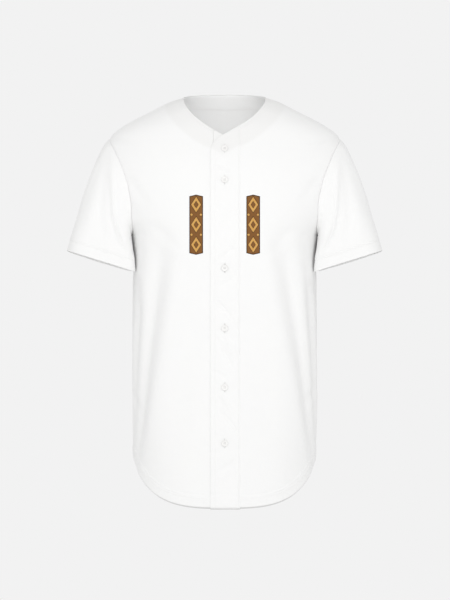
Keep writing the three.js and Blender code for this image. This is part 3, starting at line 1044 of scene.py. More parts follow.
@dataclass
class FrontBands:
    """The button band and the placket band that laps over it."""

    form: BodyForm
    sewn: SewnSurface
    wall: float = 1.4
    placket_from: float = -27.0
    placket_to: float = 29.0
    under_from: float = -21.3
    under_to: float = 19.8
    corner_rise: float = 28.0
    corner_power: float = 1.45
    placket_drop: float = 1.5
    underlap_slope: float = 0.56
    stitch_from_free_edge: float = 8.5
    stitch_from_sewn_edge: float = 3.0
    crease_strength: float = 2.4
    crease_reach: float = 0.2
    crease_ease: float = 0.3
    lap_lift: float = 1.9
    hem_step: float = 1.5
    stitch_sink: float = 0.4
    under_stitch_sink: float = 0.3
    sewn_edge_sink: float = 1.5
    sewn_edge_width: float = 1.6
    top_edge_sink: float = 0.5
    top_edge_width: float = 1.2
    pucker: float = 0.35
    pucker_reach: float = 8.0
    pucker_across: float = 16.0
    pucker_height: float = 10.0
    columns: int = 48
    under_columns: int = 16
    rows: int = 260

    def placket_top(self, x: float) -> float:
        """Height of the placket's top edge, with its rounded corner.

        Args:
            x: Place across the front.

        Returns:
            The height.
        """
        peak_x, peak_z = self.form.v_point
        if x >= peak_x:
            return self.form.neck_z(x)
        share = min((peak_x - x) / (peak_x - self.placket_from), 1.0)
        rise = (1 - share**self.corner_power) ** (1 / self.corner_power)
        return peak_z - self.corner_rise * (1 - rise)

    def under_top(self, x: float) -> float:
        """Height of the button band's top edge.

        Args:
            x: Place across the front.

        Returns:
            The height.
        """
        peak_x, peak_z = self.form.v_point
        if x < peak_x:
            return self.form.neck_z(x)
        return peak_z - self.underlap_slope * (x - peak_x)

    def rumple(self, x: float, z: float) -> float:
        """How far the small creases between the buttons move the cloth out.

        Args:
            x: Place across the front.
            z: Height.

        Returns:
            The move, in millimetres.
        """
        total = 0.0
        low = -self.crease_reach
        for x0, z0, x1, z1, width, depth in PLACKET_CREASES:
            run = Vector((x1 - x0, z1 - z0))
            here = Vector((x - x0, z - z0))
            share = here.dot(run) / run.length_squared
            if not low < share < 1 - low:
                continue
            distance = (run.x * here.y - run.y * here.x) / run.length
            fade = fade_ends(share, low, self.crease_ease)
            total -= self.crease_strength * depth * bell(distance, width) * fade
        return total

    def strip(
        self,
        xs: Sequence[float],
        hem_z: float,
        top: Callable[[float], float],
        lift: Callable[[float, float, float], float],
    ) -> ClothGrid:
        """Lay an upright strip down the centre front.

        Args:
            xs: Places of the columns across the front.
            hem_z: Height of the strip's lower edge.
            top: Height of its top edge at a place across the front.
            lift: Move out of the body's cloth, for a place, a height and the height of the top.

        Returns:
            The strip's grid.
        """
        points = []
        flat = []
        hem_edge_shade = []
        facing_shade = []
        for k in range(self.rows + 1):
            t = k / self.rows
            points.append([])
            flat.append([])
            hem_edge_shade.append([])
            facing_shade.append([])
            for x in xs:
                z = hem_z + (top(x) - hem_z) * t
                turn = math.copysign(self.form.share_at(x, z), x)
                out = lift(x, z, top(x)) - self.sewn.edge_turn(z - hem_z)
                points[k].append(self.form.skin(turn, z, out))
                flat[k].append((x, z - hem_z))
                # Painted shade along the hem's folded edge
                hem_edge_shade[k].append(self.sewn.hem_edge_shade_mask(z - hem_z))
                # Painted shade of the neck facing, seen through the thin cloth
                facing_shade[k].append(self.sewn.facing_shade_mask(self.form.neck_z(x) - z))
        return ClothGrid(points, flat, {"hem_edge_shade": hem_edge_shade, "facing_shade": facing_shade})

    def placket_lift(self, x: float, z: float, top: float) -> float:
        """How far the placket's outside lies out of the body's cloth.

        Args:
            x: Place across the front.
            z: Height.
            top: Height of the placket's top edge there.

        Returns:
            The move, in millimetres.
        """
        hem = z - self.form.front_hem_z
        base = self.lap_lift + self.sewn.hem_band(hem, self.hem_step)
        width = self.sewn.stitch_width
        from_free = x - self.placket_from
        from_sewn = self.placket_to - x
        lines = bell(from_free - self.stitch_from_free_edge, width)
        lines += bell(from_sewn - self.stitch_from_sewn_edge, width)
        lines += bell(hem - self.sewn.hem_stitch, width)
        lines += bell(top - z - self.sewn.neck_stitch, width)
        edge = self.sewn_edge_sink * bell(from_sewn, self.sewn_edge_width)
        edge += self.top_edge_sink * bell(top - z, self.top_edge_width)
        ripple = noise.noise(Vector((x / self.pucker_across, z / self.pucker_height, 8.0)))
        near = bell(from_free - self.stitch_from_free_edge, self.pucker_reach)
        near += bell(from_sewn, self.pucker_reach)
        base += self.pucker * ripple * near + self.rumple(x, z)
        return base - self.stitch_sink * lines - edge

    def under_lift(self, x: float, z: float, top: float) -> float:
        """How far the button band's outside lies out of the body's cloth.

        Args:
            x: Place across the front, which makes no difference here.
            z: Height.
            top: Height of the band's top edge there.

        Returns:
            The move, in millimetres.
        """
        band = self.sewn.hem_band(z - self.form.front_hem_z, self.hem_step)
        line = bell(top - z - self.sewn.neck_stitch, self.sewn.stitch_width)
        return band - self.under_stitch_sink * line

    def build(self) -> dict[str, bpy.types.Object]:
        """Build both bands.

        Returns:
            The pieces by name.
        """
        hem_z = self.form.front_hem_z
        xs = [self.placket_from, *steps(self.placket_from, self.placket_to, self.columns)]
        placket = self.strip(xs, hem_z - self.placket_drop, self.placket_top, self.placket_lift)
        xs = [self.under_from, *steps(self.under_from, self.under_to, self.under_columns)]
        under = self.strip(xs, hem_z, self.under_top, self.under_lift)
        return {
            "placket_cloth": placket.build("placket_cloth", self.wall, TRUNK_MIDDLE),
            "button_band_cloth": under.build("button_band_cloth", self.wall, TRUNK_MIDDLE),
        }


# How the sleeve leaves the armhole and arrives at its hem: angle, lift, first reach, last reach
SLEEVE_RUN = (
    (0, 32, 24, 84),
    (45, 42, 26, 74),
    (90, 54, 24, 57),
    (135, 58, 18, 38),
    (180, 88, 6, 24),
)


@dataclass(frozen=True)
class SleeveFold:
    """A fold along a sleeve: its angle and its place at the hem end and at the cap end."""

    hem_angle: float
    cap_angle: float
    hem_end: float
    cap_end: float
    width: float
    depth: float


SLEEVE_FOLDS = (
    SleeveFold(136, 54, 0.35, 0.98, 9, 4.5),
    SleeveFold(86, 44, 0.25, 1, 10, -2),
    SleeveFold(106, 92, 0.05, 0.6, 10, 1.5),
    SleeveFold(250, 292, 0.2, 0.97, 10, 4.5),
    SleeveFold(222, 236, 0.05, 0.7, 8, 3),
    SleeveFold(70, 52, 0.1, 0.6, 12, 1.2),
    SleeveFold(20, 35, 0.3, 0.85, 13, 1.0),
    SleeveFold(322, 330, 0.15, 0.7, 13, 1.2),
)


@dataclass
class Sleeve:
    """A short set-in sleeve with a folded and stitched hem."""

    form: BodyForm
    armhole: ArmholeLine
    side: Side
    hem_centre: Spot = (239.8, 0.0, -311.0)
    hem_reach: Spot = (62.2, 0.0, 19.2)
    hem_half_depth: float = 70.0
    back_drop: float = 3.5
    hem_squareness: float = 3.4
    tuck: float = 18.0
    tuck_angle: float = 134.0
    tuck_width: float = 18.0
    fold_over: float = 1.2
    fold_over_angle: float = 148.0
    fold_over_width: float = 20.0
    fold_direction: Spot = (-0.5, -1.0, 0.0)
    hem_turn: float = 20.0
    hem_turn_angle: float = 152.0
    hem_turn_width: float = 26.0
    outer_end: Spot = (0.3, 0.0, -0.954)
    inner_end: Spot = (-0.03, 0.0, -1.0)
    gap: float = 0.05
    wall: float = 1.3
    hem_depth: float = 22.0
    hem_relief: float = 0.8
    hem_step: float = 1.6
    hem_stitch: float = 20.0
    stitch_sink: float = 0.55
    stitch_width: float = 0.9
    pucker: float = 0.35
    pucker_reach: float = 12.0
    seam_ridge: float = 0.5
    seam_ridge_from: float = 6.0
    seam_ridge_width: float = 3.0
    seam_sink: float = 1.1
    seam_width: float = 2.2
    rumple: float = 0.8
    rumple_turns: float = 2.0
    rumple_length: float = 2.2
    pucker_turns: float = 6.0
    pucker_length: float = 16.0
    fold_ease: float = 0.3
    full_fold_length: float = 100.0
    inside_shift: Spot = (-25.0, 0.0, 90.0)
    tangent_step: float = 10.0
    around: int = 120
    hem_rows: int = 22
    hem_rows_reach: float = 1.15
    rows: int = 64
    fine_steps: int = 80

    def __post_init__(self) -> None:
        """Make the smooth curves of the sleeve's run."""
        angles = [row[0] for row in SLEEVE_RUN]
        self.run = [SmoothCurve(angles, [row[i] for row in SLEEVE_RUN]) for i in (1, 2, 3)]

    def mirrored(self, value: Sequence[float]) -> Vector:
        """A direction or place, on this sleeve's side."""
        return Vector((value[0] * self.side.value, value[1], value[2]))

    def line(self, angle: float) -> list[Vector]:
        """Control points of the sleeve's line from the armhole to the hem.

        Args:
            angle: The angle round the armhole, in degrees.

        Returns:
            The four control points.
        """
        folded = abs((angle + 180) % 360 - 180)
        lift, first, last = (curve.at(folded) for curve in self.run)
        here, ahead, behind = (
            self.form.skin(*self.armhole.turn_and_height(self.side, angle + d))
            for d in (0, self.tangent_step, -self.tangent_step)
        )
        out = self.form.outward(*self.armhole.turn_and_height(self.side, angle))
        tangent = (ahead - behind).normalized()
        into = (out.cross(tangent) * self.side.value).normalized()
        forward = self.mirrored(self.fold_direction) * self.fold_over
        out += forward * bell(angle - self.fold_over_angle, self.fold_over_width)
        out.normalize()
        tilt = math.radians(lift)
        start = here + into * self.gap
        leave = into * math.cos(tilt) + out * math.sin(tilt)
        hem_angle = angle - self.hem_turn * bell(angle - self.hem_turn_angle, self.hem_turn_width)
        sine = math.sin(math.radians(hem_angle))
        cosine = math.cos(math.radians(hem_angle))
        reach = rounding(sine, cosine, self.hem_squareness)
        end = self.mirrored(self.hem_centre) + self.mirrored(self.hem_reach) * (cosine * reach)
        tuck = self.tuck * bell(hem_angle - self.tuck_angle, self.tuck_width)
        end.x -= self.side.value * tuck
        end.y -= self.hem_half_depth * sine * reach
        end.z -= tuck * self.hem_reach[2] / self.hem_reach[0]
        end.z += self.back_drop * min(sine, 0.0)
        arrive = self.mirrored(self.outer_end).lerp(self.mirrored(self.inner_end), (1 - cosine) / 2)
        arrive.normalize()
        return [start, start + leave * first, end - arrive * last, end]

    def fold(self, angle: float, share: float, length: float) -> float:
        """How far the sleeve's folds move the cloth out.

        Args:
            angle: The angle round the sleeve, in degrees.
            share: Share of the way from the hem to the armhole.
            length: Length of the sleeve at that angle.

        Returns:
            The move, in millimetres.
        """
        total = 0.0
        for fold in SLEEVE_FOLDS:
            reach = (share - fold.hem_end) / (fold.cap_end - fold.hem_end)
            if not 0 < reach < 1:
                continue
            middle = fold.hem_angle + (fold.cap_angle - fold.hem_angle) * reach
            away = (angle - middle + 180) % 360 - 180
            distance = math.radians(away) * self.hem_half_depth
            fade = fade_ends(reach, 0, self.fold_ease)
            total -= fold.depth * bell(distance, fold.width) * fade
        rumple = self.noise_round(angle, self.rumple_turns, share * self.rumple_length)
        total += self.rumple * rumple * smoothstep(0, 0.2, 1 - share)
        return total * min(length / self.full_fold_length, 1)

    def noise_round(self, angle: float, turns: float, along: float) -> float:
        """Smooth noise that closes round the sleeve."""
        around = math.radians(angle)
        return noise.noise(Vector((math.cos(around) * turns, math.sin(around) * turns, along)))

    def column(self, angle: float) -> list[tuple[Vector, float]]:
        """Points of the plain sleeve at one angle.

        Args:
            angle: The angle round the armhole, in degrees.

        Returns:
            The points from the hem up, each with its distance from the hem.
        """
        a, b, c, d = self.line(angle)
        fine = self.fine_steps
        dense = []
        for i in range(fine + 1):
            t = 1 - i / fine
            s = 1 - t
            dense.append(a * s**3 + b * (3 * s * s * t) + c * (3 * s * t * t) + d * t**3)
        run = run_lengths(dense)
        band = self.hem_depth * self.hem_rows_reach
        heights = [band * i / self.hem_rows for i in range(self.hem_rows + 1)]
        heights += steps(heights[-1], run[-1], self.rows)
        column = []
        i = 0
        for height in heights:
            while i < fine - 1 and run[i + 1] < height:
                i += 1
            part = (height - run[i]) / (run[i + 1] - run[i])
            column.append((dense[i].lerp(dense[i + 1], min(max(part, 0), 1)), height))
        return column

    def relief(self, angle: float, height: float, length: float) -> float:
        """How far folds and sewing move the cloth out.

        Args:
            angle: The angle round the sleeve, in degrees.
            height: Distance from the hem.
            length: Length of the sleeve at that angle.

        Returns:
            The move, in millimetres.
        """
        lift = self.fold(angle % 360, height / length, length)
        band = 1 - smoothstep(self.hem_depth, self.hem_depth + self.hem_step, height)
        lift += self.hem_relief * band
        lift -= self.stitch_sink * bell(height - self.hem_stitch, self.stitch_width)
        from_seam = length - height
        lift += self.seam_ridge * bell(from_seam - self.seam_ridge_from, self.seam_ridge_width)
        wave = self.noise_round(angle, self.pucker_turns, height / self.pucker_length)
        return lift + self.pucker * wave * bell(height - self.hem_stitch, self.pucker_reach)

    def grid(self) -> ClothGrid:
        """Lay the sleeve's rows from the hem up to the armhole.

        Returns:
            The grid, a tube round the arm.
        """
        around = self.around
        angles = [360 * j / around for j in range(around + 1)]
        plain_columns = [self.column(angle % 360) for angle in angles]
        lengths = [column[-1][1] for column in plain_columns]
        seam_outs = [
            self.form.outward(*self.armhole.turn_and_height(self.side, angle % 360))
            for angle in angles
        ]
        rows = len(plain_columns[0])
        points = [[Vector()] * (around + 1) for _ in range(rows)]
        flat = [[(0.0, 0.0)] * (around + 1) for _ in range(rows)]
        for k in range(rows):
            for j in range(around + 1):
                here, height = plain_columns[j][k]
                ahead = plain_columns[(j + 1) % around][k][0]
                behind = plain_columns[(j - 1) % around][k][0]
                above = plain_columns[j][min(k + 1, rows - 1)][0]
                below = plain_columns[j][max(k - 1, 0)][0]
                out = (ahead - behind).cross(above - below) * self.side.value
                out.normalize()
                lift = self.relief(angles[j], height, lengths[j])
                sink = self.seam_sink * bell(lengths[j] - height, self.seam_width)
                points[k][j] = here + out * lift - seam_outs[j] * sink
                flat[k][j] = (math.radians(angles[j]) * self.hem_half_depth, height)
        return ClothGrid(points, flat, is_tube=True)

    def build(self, name: str) -> bpy.types.Object:
        """Build the sleeve.

        Args:
            name: The object's name.

        Returns:
            The new object.
        """
        self.laid = self.grid()
        middle = self.mirrored(self.hem_centre) + self.mirrored(self.inside_shift)
        return self.laid.build(name, self.wall, middle)


@dataclass
class Stitching:
    """Rows of small thread stitches along lines on the cloth."""

    pitch: float = 3.0
    length: float = 2.3
    thickness: float = 0.42
    proud: float = 0.1

    def sew(self, name: str, lines: Sequence[StitchLine]) -> bpy.types.Object:
        """Sew one piece of stitching.

        Args:
            name: The object's name.
            lines: Lines of points, each with the direction out of the cloth there.

        Returns:
            The new object.
        """
        work = bmesh.new()
        for line in lines:
            self.sew_line(work, line)
        return link_piece(name, work)

    def sew_line(self, work: bmesh.types.BMesh, line: StitchLine) -> None:
        """Add the stitches of one line.

        Args:
            work: The mesh to add to.
            line: Points, each with the direction out of the cloth there.
        """
        lengths = run_lengths([point for point, _ in line])
        count = int(lengths[-1] / self.pitch)
        i = 0
        for step in range(count):
            goal = (step + 0.5) * self.pitch
            while i < len(lengths) - 2 and lengths[i + 1] < goal:
                i += 1
            part = (goal - lengths[i]) / max(lengths[i + 1] - lengths[i], 1e-9)
            here = line[i][0].lerp(line[i + 1][0], part)
            ahead = (line[i + 1][0] - line[i][0]).normalized()
            out = line[i][1].lerp(line[i + 1][1], part).normalized()
            side = out.cross(ahead).normalized()
            out = ahead.cross(side)
            turn = Matrix((ahead, side, out)).transposed().to_4x4()
            half = self.thickness / 2
            size = Matrix.Diagonal((self.length / 2, half, half, 1.0))
            place = Matrix.Translation((here + out * self.proud) * MM)
            shape = place @ turn @ Matrix.Scale(MM, 4) @ size
            bmesh.ops.create_icosphere(work, subdivisions=1, radius=1, matrix=shape)


def grid_line(grid: ClothGrid, picks: Sequence[tuple[int, int]], centre: Vector) -> StitchLine:
    """Points of a grid with the direction out of the cloth at each.

    Args:
        grid: The grid.
        picks: Row and column of each point.
        centre: A point inside the garment.

    Returns:
        The points with their directions.
    """
    rows = len(grid.points)
    columns = len(grid.points[0])
    line = []
    for k, j in picks:
        here = grid.points[k][j]
        across = grid.points[k][min(j + 1, columns - 1)] - grid.points[k][max(j - 1, 0)]
        up = grid.points[min(k + 1, rows - 1)][j] - grid.points[max(k - 1, 0)][j]
        out = across.cross(up).normalized()
        if out.dot(here - centre) < 0:
            out = -out
        line.append((here, out))
    return line


def row_line(grid: ClothGrid, distance: float, from_top: bool, centre: Vector) -> StitchLine:
    """A line across a grid at a distance from its bottom or top edge.

    Args:
        grid: The grid.
        distance: Distance from the edge, in millimetres.
        from_top: Whether to measure from the top edge.
        centre: A point inside the garment.

    Returns:
        The points with the directions out of the cloth.
    """
    line = []
    for j in range(len(grid.points[0])):
        lengths = run_lengths([row[j] for row in grid.points])
        goal = lengths[-1] - distance if from_top else distance
        k = min(max(bisect.bisect_right(lengths, goal) - 1, 0), len(lengths) - 2)
        part = (goal - lengths[k]) / (lengths[k + 1] - lengths[k])
        (low, low_out), (high, high_out) = grid_line(grid, [(k, j), (k + 1, j)], centre)
        line.append((low.lerp(high, part), low_out.lerp(high_out, part).normalized()))
    return line


@dataclass
class Button:
    """A four-hole button with a raised rim, sewn on through the placket."""

    form: BodyForm
    z: float
    radius: float = 6.35
    thickness: float = 2.6
    rim: float = 1.3
    dish: float = 0.55
    hole_radius: float = 0.7
    hole_spread: float = 1.6
    seat: float = 2.45
    back_radius: float = 3.0
    segments: int = 48
    hole_segments: int = 12
    smooth_angle: float = math.radians(40)
    thread_lines: Spot = (-0.36, 0.0, 0.36)
    thread_size: tuple[float, float] = (0.22, 0.3)
    thread_rise: float = 0.1
    thread_reach: float = 0.45
    strand_size: Spot = (0.6, 0.6, 1.2)
    buttonhole_half: float = 8.6
    buttonhole_width: float = 1.15
    buttonhole_depth: float = 0.42
    rim_share: float = 0.62
    rim_stitches: int = 46
    rim_stitch: Spot = (0.72, 0.25, 0.26)
    bar_stitches: int = 6
    bar_stitch: Spot = (0.25, 0.95, 0.3)

    def seat_matrix(self) -> Matrix:
        """Where the button sits.

        Returns:
            The place, with the button's face along local Z.
        """
        out = self.form.outward(0.0, self.z)
        up = Vector((0, 0, 1))
        side = up.cross(out).normalized()
        up = out.cross(side)
        turn = Matrix((side, up, out)).transposed().to_4x4()
        place = self.form.plain(0.0, self.z) + out * self.seat
        return Matrix.Translation(place * MM) @ turn @ Matrix.Scale(MM, 4)

    def disc(self, work: bmesh.types.BMesh) -> None:
        """Add the spun body with its four holes.

        Args:
            work: The mesh to add to.
        """
        top = self.thickness
        floor = top - self.dish
        inner = self.radius - self.rim
        # Radius and height along the outline, from the dished floor over the rim to the back
        profile = [
            (inner - 0.7, floor),
            (inner - 0.35, floor + 0.1),
            (inner, top - 0.12),
            (inner + 0.25, top),
            (self.radius - 0.45, top),
            (self.radius - 0.12, top - 0.25),
            (self.radius, top - 0.7),
            (self.radius, 0.9),
            (self.radius - 0.2, 0.45),
            (self.radius - 0.9, 0.0),
            (self.back_radius, 0.0),
        ]
        verts = [work.verts.new((r, 0, h)) for r, h in profile]
        edges = [work.edges.new(pair) for pair in zip(verts, verts[1:])]
        bmesh.ops.spin(
            work,
            geom=[*verts, *edges],
            cent=(0, 0, 0),
            axis=(0, 0, 1),
            angle=2 * math.pi,
            steps=self.segments,
            use_merge=True,
        )
        bmesh.ops.remove_doubles(work, verts=work.verts[:], dist=0.0001)
        rims = [
            [e for e in work.edges if e.is_boundary and abs(e.verts[0].co.z - level) < 0.001]
            for level in (floor, 0.0)
        ]
        holes = [self.hole_edges(work, level) for level in (floor, 0.0)]
        for rim, (ring_edges, _) in zip(rims, holes):
            bmesh.ops.triangle_fill(work, use_beauty=True, edges=[*rim, *ring_edges])
        for top_ring, low_ring in zip(holes[0][1], holes[1][1]):
            bmesh.ops.bridge_loops(work, edges=[*top_ring, *low_ring])

    def hole_edges(
        self, work: bmesh.types.BMesh, level: float
    ) -> tuple[list[bmesh.types.BMEdge], list[list[bmesh.types.BMEdge]]]:
        """Add the four hole outlines at one level.

        Args:
            work: The mesh to add to.
            level: Height of the outlines on the button.

        Returns:
            All the edges, and the edges of each outline.
        """
        all_edges = []
        rings = []
        for quarter in range(4):
            angle = math.pi / 4 + quarter * HALF_PI
            centre = (math.cos(angle) * self.hole_spread, math.sin(angle) * self.hole_spread, level)
            ring = bmesh.ops.create_circle(
                work,
                segments=self.hole_segments,
                radius=self.hole_radius,
                matrix=Matrix.Translation(centre),
            )
            edges = list({edge for vertex in ring["verts"] for edge in vertex.link_edges})
            rings.append(edges)
            all_edges += edges
        return all_edges, rings

    def build(self, name: str) -> bpy.types.Object:
        """Build the button's body.

        Args:
            name: The object's name.

        Returns:
            The new object.
        """
        work = bmesh.new()
        self.disc(work)
        bmesh.ops.recalc_face_normals(work, faces=work.faces[:])
        work.transform(self.seat_matrix())
        piece = link_piece(name, work)
        piece.data.set_sharp_from_angle(angle=self.smooth_angle)
        return piece

    def thread(self, work: bmesh.types.BMesh) -> None:
        """Add the thread: two bars across the button's face, and the strands down its holes.

        Args:
            work: The mesh to add to.
        """
        reach = self.hole_spread * math.cos(math.pi / 4)
        floor = self.thickness - self.dish
        thick, high = self.thread_size
        grains = []
        for sign in (-1, 1):
            for offset in self.thread_lines:
                place = (sign * reach + offset, 0, floor + self.thread_rise)
                grains.append((place, (thick, reach + self.thread_reach, high)))
            for end in (-1, 1):
                place = (sign * reach, end * reach, floor - self.strand_size[2])
                grains.append((place, self.strand_size))
        self.add_grains(work, self.seat_matrix(), grains, 2)

    def add_grains(
        self,
        work: bmesh.types.BMesh,
        base: Matrix,
        grains: Sequence[tuple[Spot, Spot]],
        subdivisions: int,
    ) -> None:
        """Add small rounded grains of thread.

        Args:
            work: The mesh to add to.
            base: Where the button sits.
            grains: Place and half sizes of each grain, on the button.
            subdivisions: How finely a grain is rounded.
        """
        for place, size in grains:
            shape = base @ Matrix.Translation(place) @ Matrix.Diagonal((*size, 1.0))
            bmesh.ops.create_icosphere(work, subdivisions=subdivisions, radius=1, matrix=shape)

    def buttonhole(self, work: bmesh.types.BMesh) -> None:
        """Add the satin-stitched rim of the upright buttonhole under the button.

        Args:
            work: The mesh to add to.
        """
        half = self.buttonhole_half
        width = self.buttonhole_width
        grains = []
        for sign in (-1, 1):
            for i in range(self.rim_stitches):
                y = -half + 2 * half * (i + 0.5) / self.rim_stitches
                grains.append(((sign * width * self.rim_share, y, 0), self.rim_stitch))
            for i in range(self.bar_stitches):
                x = -width + 2 * width * (i + 0.5) / self.bar_stitches
                grains.append(((x, sign * half, 0), self.bar_stitch))
        base = self.seat_matrix() @ Matrix.Translation((0, 0, -self.buttonhole_depth))
        self.add_grains(work, base, grains, 1)


def darker(colour: Colour, share: float) -> Colour:
    """A colour with a share of its light left."""
    return (*(part * share for part in colour[:3]), 1.0)


class NodeSketch:
    """A new material, with short ways to add and join its nodes."""

    def __init__(self, name: str) -> None:
        """Start a material with an empty node tree.

        Args:
            name: The material's name.
        """
        self.material = bpy.data.materials.new(name)
        self.material.use_nodes = True
        self.tree = self.material.node_tree
        self.tree.nodes.clear()

    def node(self, kind: str, **values: object) -> bpy.types.Node:
        """Add a node and set its properties and its inputs by name.

        Args:
            kind: The node's type.
            values: Properties and inputs, with underscores for spaces.

        Returns:
            The node.
        """
        made = self.tree.nodes.new(kind)
        for key, value in values.items():
            name = key.replace("_", " ")
            socket = next((s for s in made.inputs if s.name.lower() == name), None)
            if hasattr(made, key):
                setattr(made, key, value)
            elif socket is not None:
                socket.default_value = value
            else:
                raise KeyError(f"{kind} has no {key}")
        return made

    def feed(self, socket: bpy.types.NodeSocket, value: object) -> None:
        """Link a socket to another node's output, or set its value.

        Args:
            socket: The socket.
            value: The output or the value.
        """
        if isinstance(value, bpy.types.NodeSocket):
            self.tree.links.new(value, socket)
        else:
            socket.default_value = value

    def math(self, operation: str, *values: object) -> bpy.types.NodeSocket:
        """Add a Math node.

        Args:
            operation: What it works out.
            values: Its inputs, as numbers or other nodes' outputs.

        Returns:
            Its result.
        """
        made = self.tree.nodes.new("ShaderNodeMath")
        made.operation = operation
        for socket, value in zip(made.inputs, values):
            self.feed(socket, value)
        return made.outputs[0]

    def mix(self, share: object, first: object, second: object) -> bpy.types.NodeSocket:
        """Mix two colours.

        Args:
            share: Share of the second colour.
            first: The first colour.
            second: The second colour.

        Returns:
            The mixed colour.
        """
        made = self.tree.nodes.new("ShaderNodeMix")
        made.data_type = "RGBA"
        colours = [s for s in made.inputs if s.type == "RGBA"]
        for socket, value in zip((made.inputs[0], *colours), (share, first, second)):
            self.feed(socket, value)
        return next(s for s in made.outputs if s.type == "RGBA")

    def join(self, output: bpy.types.NodeSocket, node: bpy.types.Node, name: str) -> None:
        """Link an output to a node's input by name."""
        self.tree.links.new(output, node.inputs[name])

    def surface(self, **values: float) -> bpy.types.Node:
        """Add the output and its shader.

        Args:
            values: Values of the shader's own inputs, with underscores for spaces.

        Returns:
            The shader.
        """
        output = self.node("ShaderNodeOutputMaterial")
        shader = self.node("ShaderNodeBsdfPrincipled", **values)
        self.join(shader.outputs[0], output, "Surface")
        return shader

    def cloud(self, **values: float) -> bpy.types.NodeSocket:
        """Add soft noise over a piece's own places.

        Args:
            values: The noise's scale and the like.

        Returns:
            The noise.
        """
        place = self.node("ShaderNodeTexCoord")
        made = self.node("ShaderNodeTexNoise", **values)
        self.join(place.outputs["Object"], made, "Vector")
        return made.outputs[0]

    def bump(
        self,
        height: bpy.types.NodeSocket,
        strength: float,
        distance: float,
        under: bpy.types.NodeSocket | None = None,
    ) -> bpy.types.NodeSocket:
        """Add a Bump node.

        Args:
            height: The height.
            strength: How strongly it shows.
            distance: The relief of a height of 1, in metres.
            under: Another bump that this one lies over.

        Returns:
            The bumped normal.
        """
        made = self.node("ShaderNodeBump", strength=strength, distance=distance)
        self.join(height, made, "Height")
        if under is not None:
            self.join(under, made, "Normal")
        return made.outputs[0]


@dataclass(frozen=True)
class KnitCloth:
    """White double-knit cloth with a fine rib, a soft sheen, a faint unevenness and painted shade
    at the neck facing and the hem's edge.
    """

    name: str = "white_knit"
    colour: Colour = (0.9, 0.9, 0.895, 1.0)
    # Painted shade of the neck facing, seen through the thin cloth
    facing_shade_colour: Colour = (0.865, 0.863, 0.855, 1.0)
    # Painted shade on the hem's folded bottom edge
    hem_edge_shade_colour: Colour = (0.70, 0.70, 0.69, 1.0)
    wale: float = 1.25
    course: float = 0.95
    rib_share: float = 0.6
    loop_lean: float = 0.9
    cloud_scale: float = 22.0
    cloud_shade: float = 0.07
    has_print: bool = False

    def weave(self, sketch: NodeSketch) -> bpy.types.NodeSocket:
        """Height of the knit's loops, from the cloth's own flat places in millimetres.

        Args:
            sketch: The material's nodes.

        Returns:
            The height.
        """
        flat = sketch.node("ShaderNodeUVMap", uv_map="cloth")
        split = sketch.node("ShaderNodeSeparateXYZ")
        sketch.join(flat.outputs[0], split, "Vector")
        u, v = split.outputs[0], split.outputs[1]
        rib = sketch.math("SINE", sketch.math("MULTIPLY", u, 2 * math.pi / self.wale))
        lean = sketch.math("MULTIPLY", sketch.math("ABSOLUTE", rib), self.loop_lean)
        loops = sketch.math("MULTIPLY", v, 2 * math.pi / self.course)
        loops = sketch.math("SINE", sketch.math("ADD", loops, lean))
        ribs = sketch.math("MULTIPLY", rib, self.rib_share)
        return sketch.math("ADD", ribs, sketch.math("MULTIPLY", loops, 1 - self.rib_share))

    def build(self) -> bpy.types.Material:
        """Make the material.

        Returns:
            The material.
        """
        sketch = NodeSketch(self.name)
        shader = sketch.surface(
            roughness=0.82, specular_ior_level=0.25, sheen_weight=0.25, sheen_roughness=0.45
        )
        cloud = sketch.cloud(scale=self.cloud_scale, detail=3.0, roughness=0.6)
        # Painted shade of the neck facing, seen through the thin cloth, mixed into the base colour
        facing_shade = sketch.node("ShaderNodeAttribute", attribute_name="facing_shade")
        base = sketch.mix(facing_shade.outputs["Fac"], self.colour, self.facing_shade_colour)
        # Painted shade along the hem's folded bottom edge, mixed into the base colour
        hem_edge_shade = sketch.node("ShaderNodeAttribute", attribute_name="hem_edge_shade")
        base = sketch.mix(hem_edge_shade.outputs["Fac"], base, self.hem_edge_shade_colour)
        shade = sketch.math("SUBTRACT", cloud, 0.5)
        shade = sketch.math("MULTIPLY", shade, self.cloud_shade)
        colour = sketch.mix(sketch.math("MAXIMUM", shade, 0.0), base, darker(self.colour, 0.9))
        if self.has_print:
            colour = FrontPrint().over(sketch, colour)
        sketch.join(colour, shader, "Base Color")
        knit = sketch.bump(self.weave(sketch), 0.35, 0.00012)
        sketch.join(sketch.bump(cloud, 0.5, 0.0012, knit), shader, "Normal")
        return sketch.material


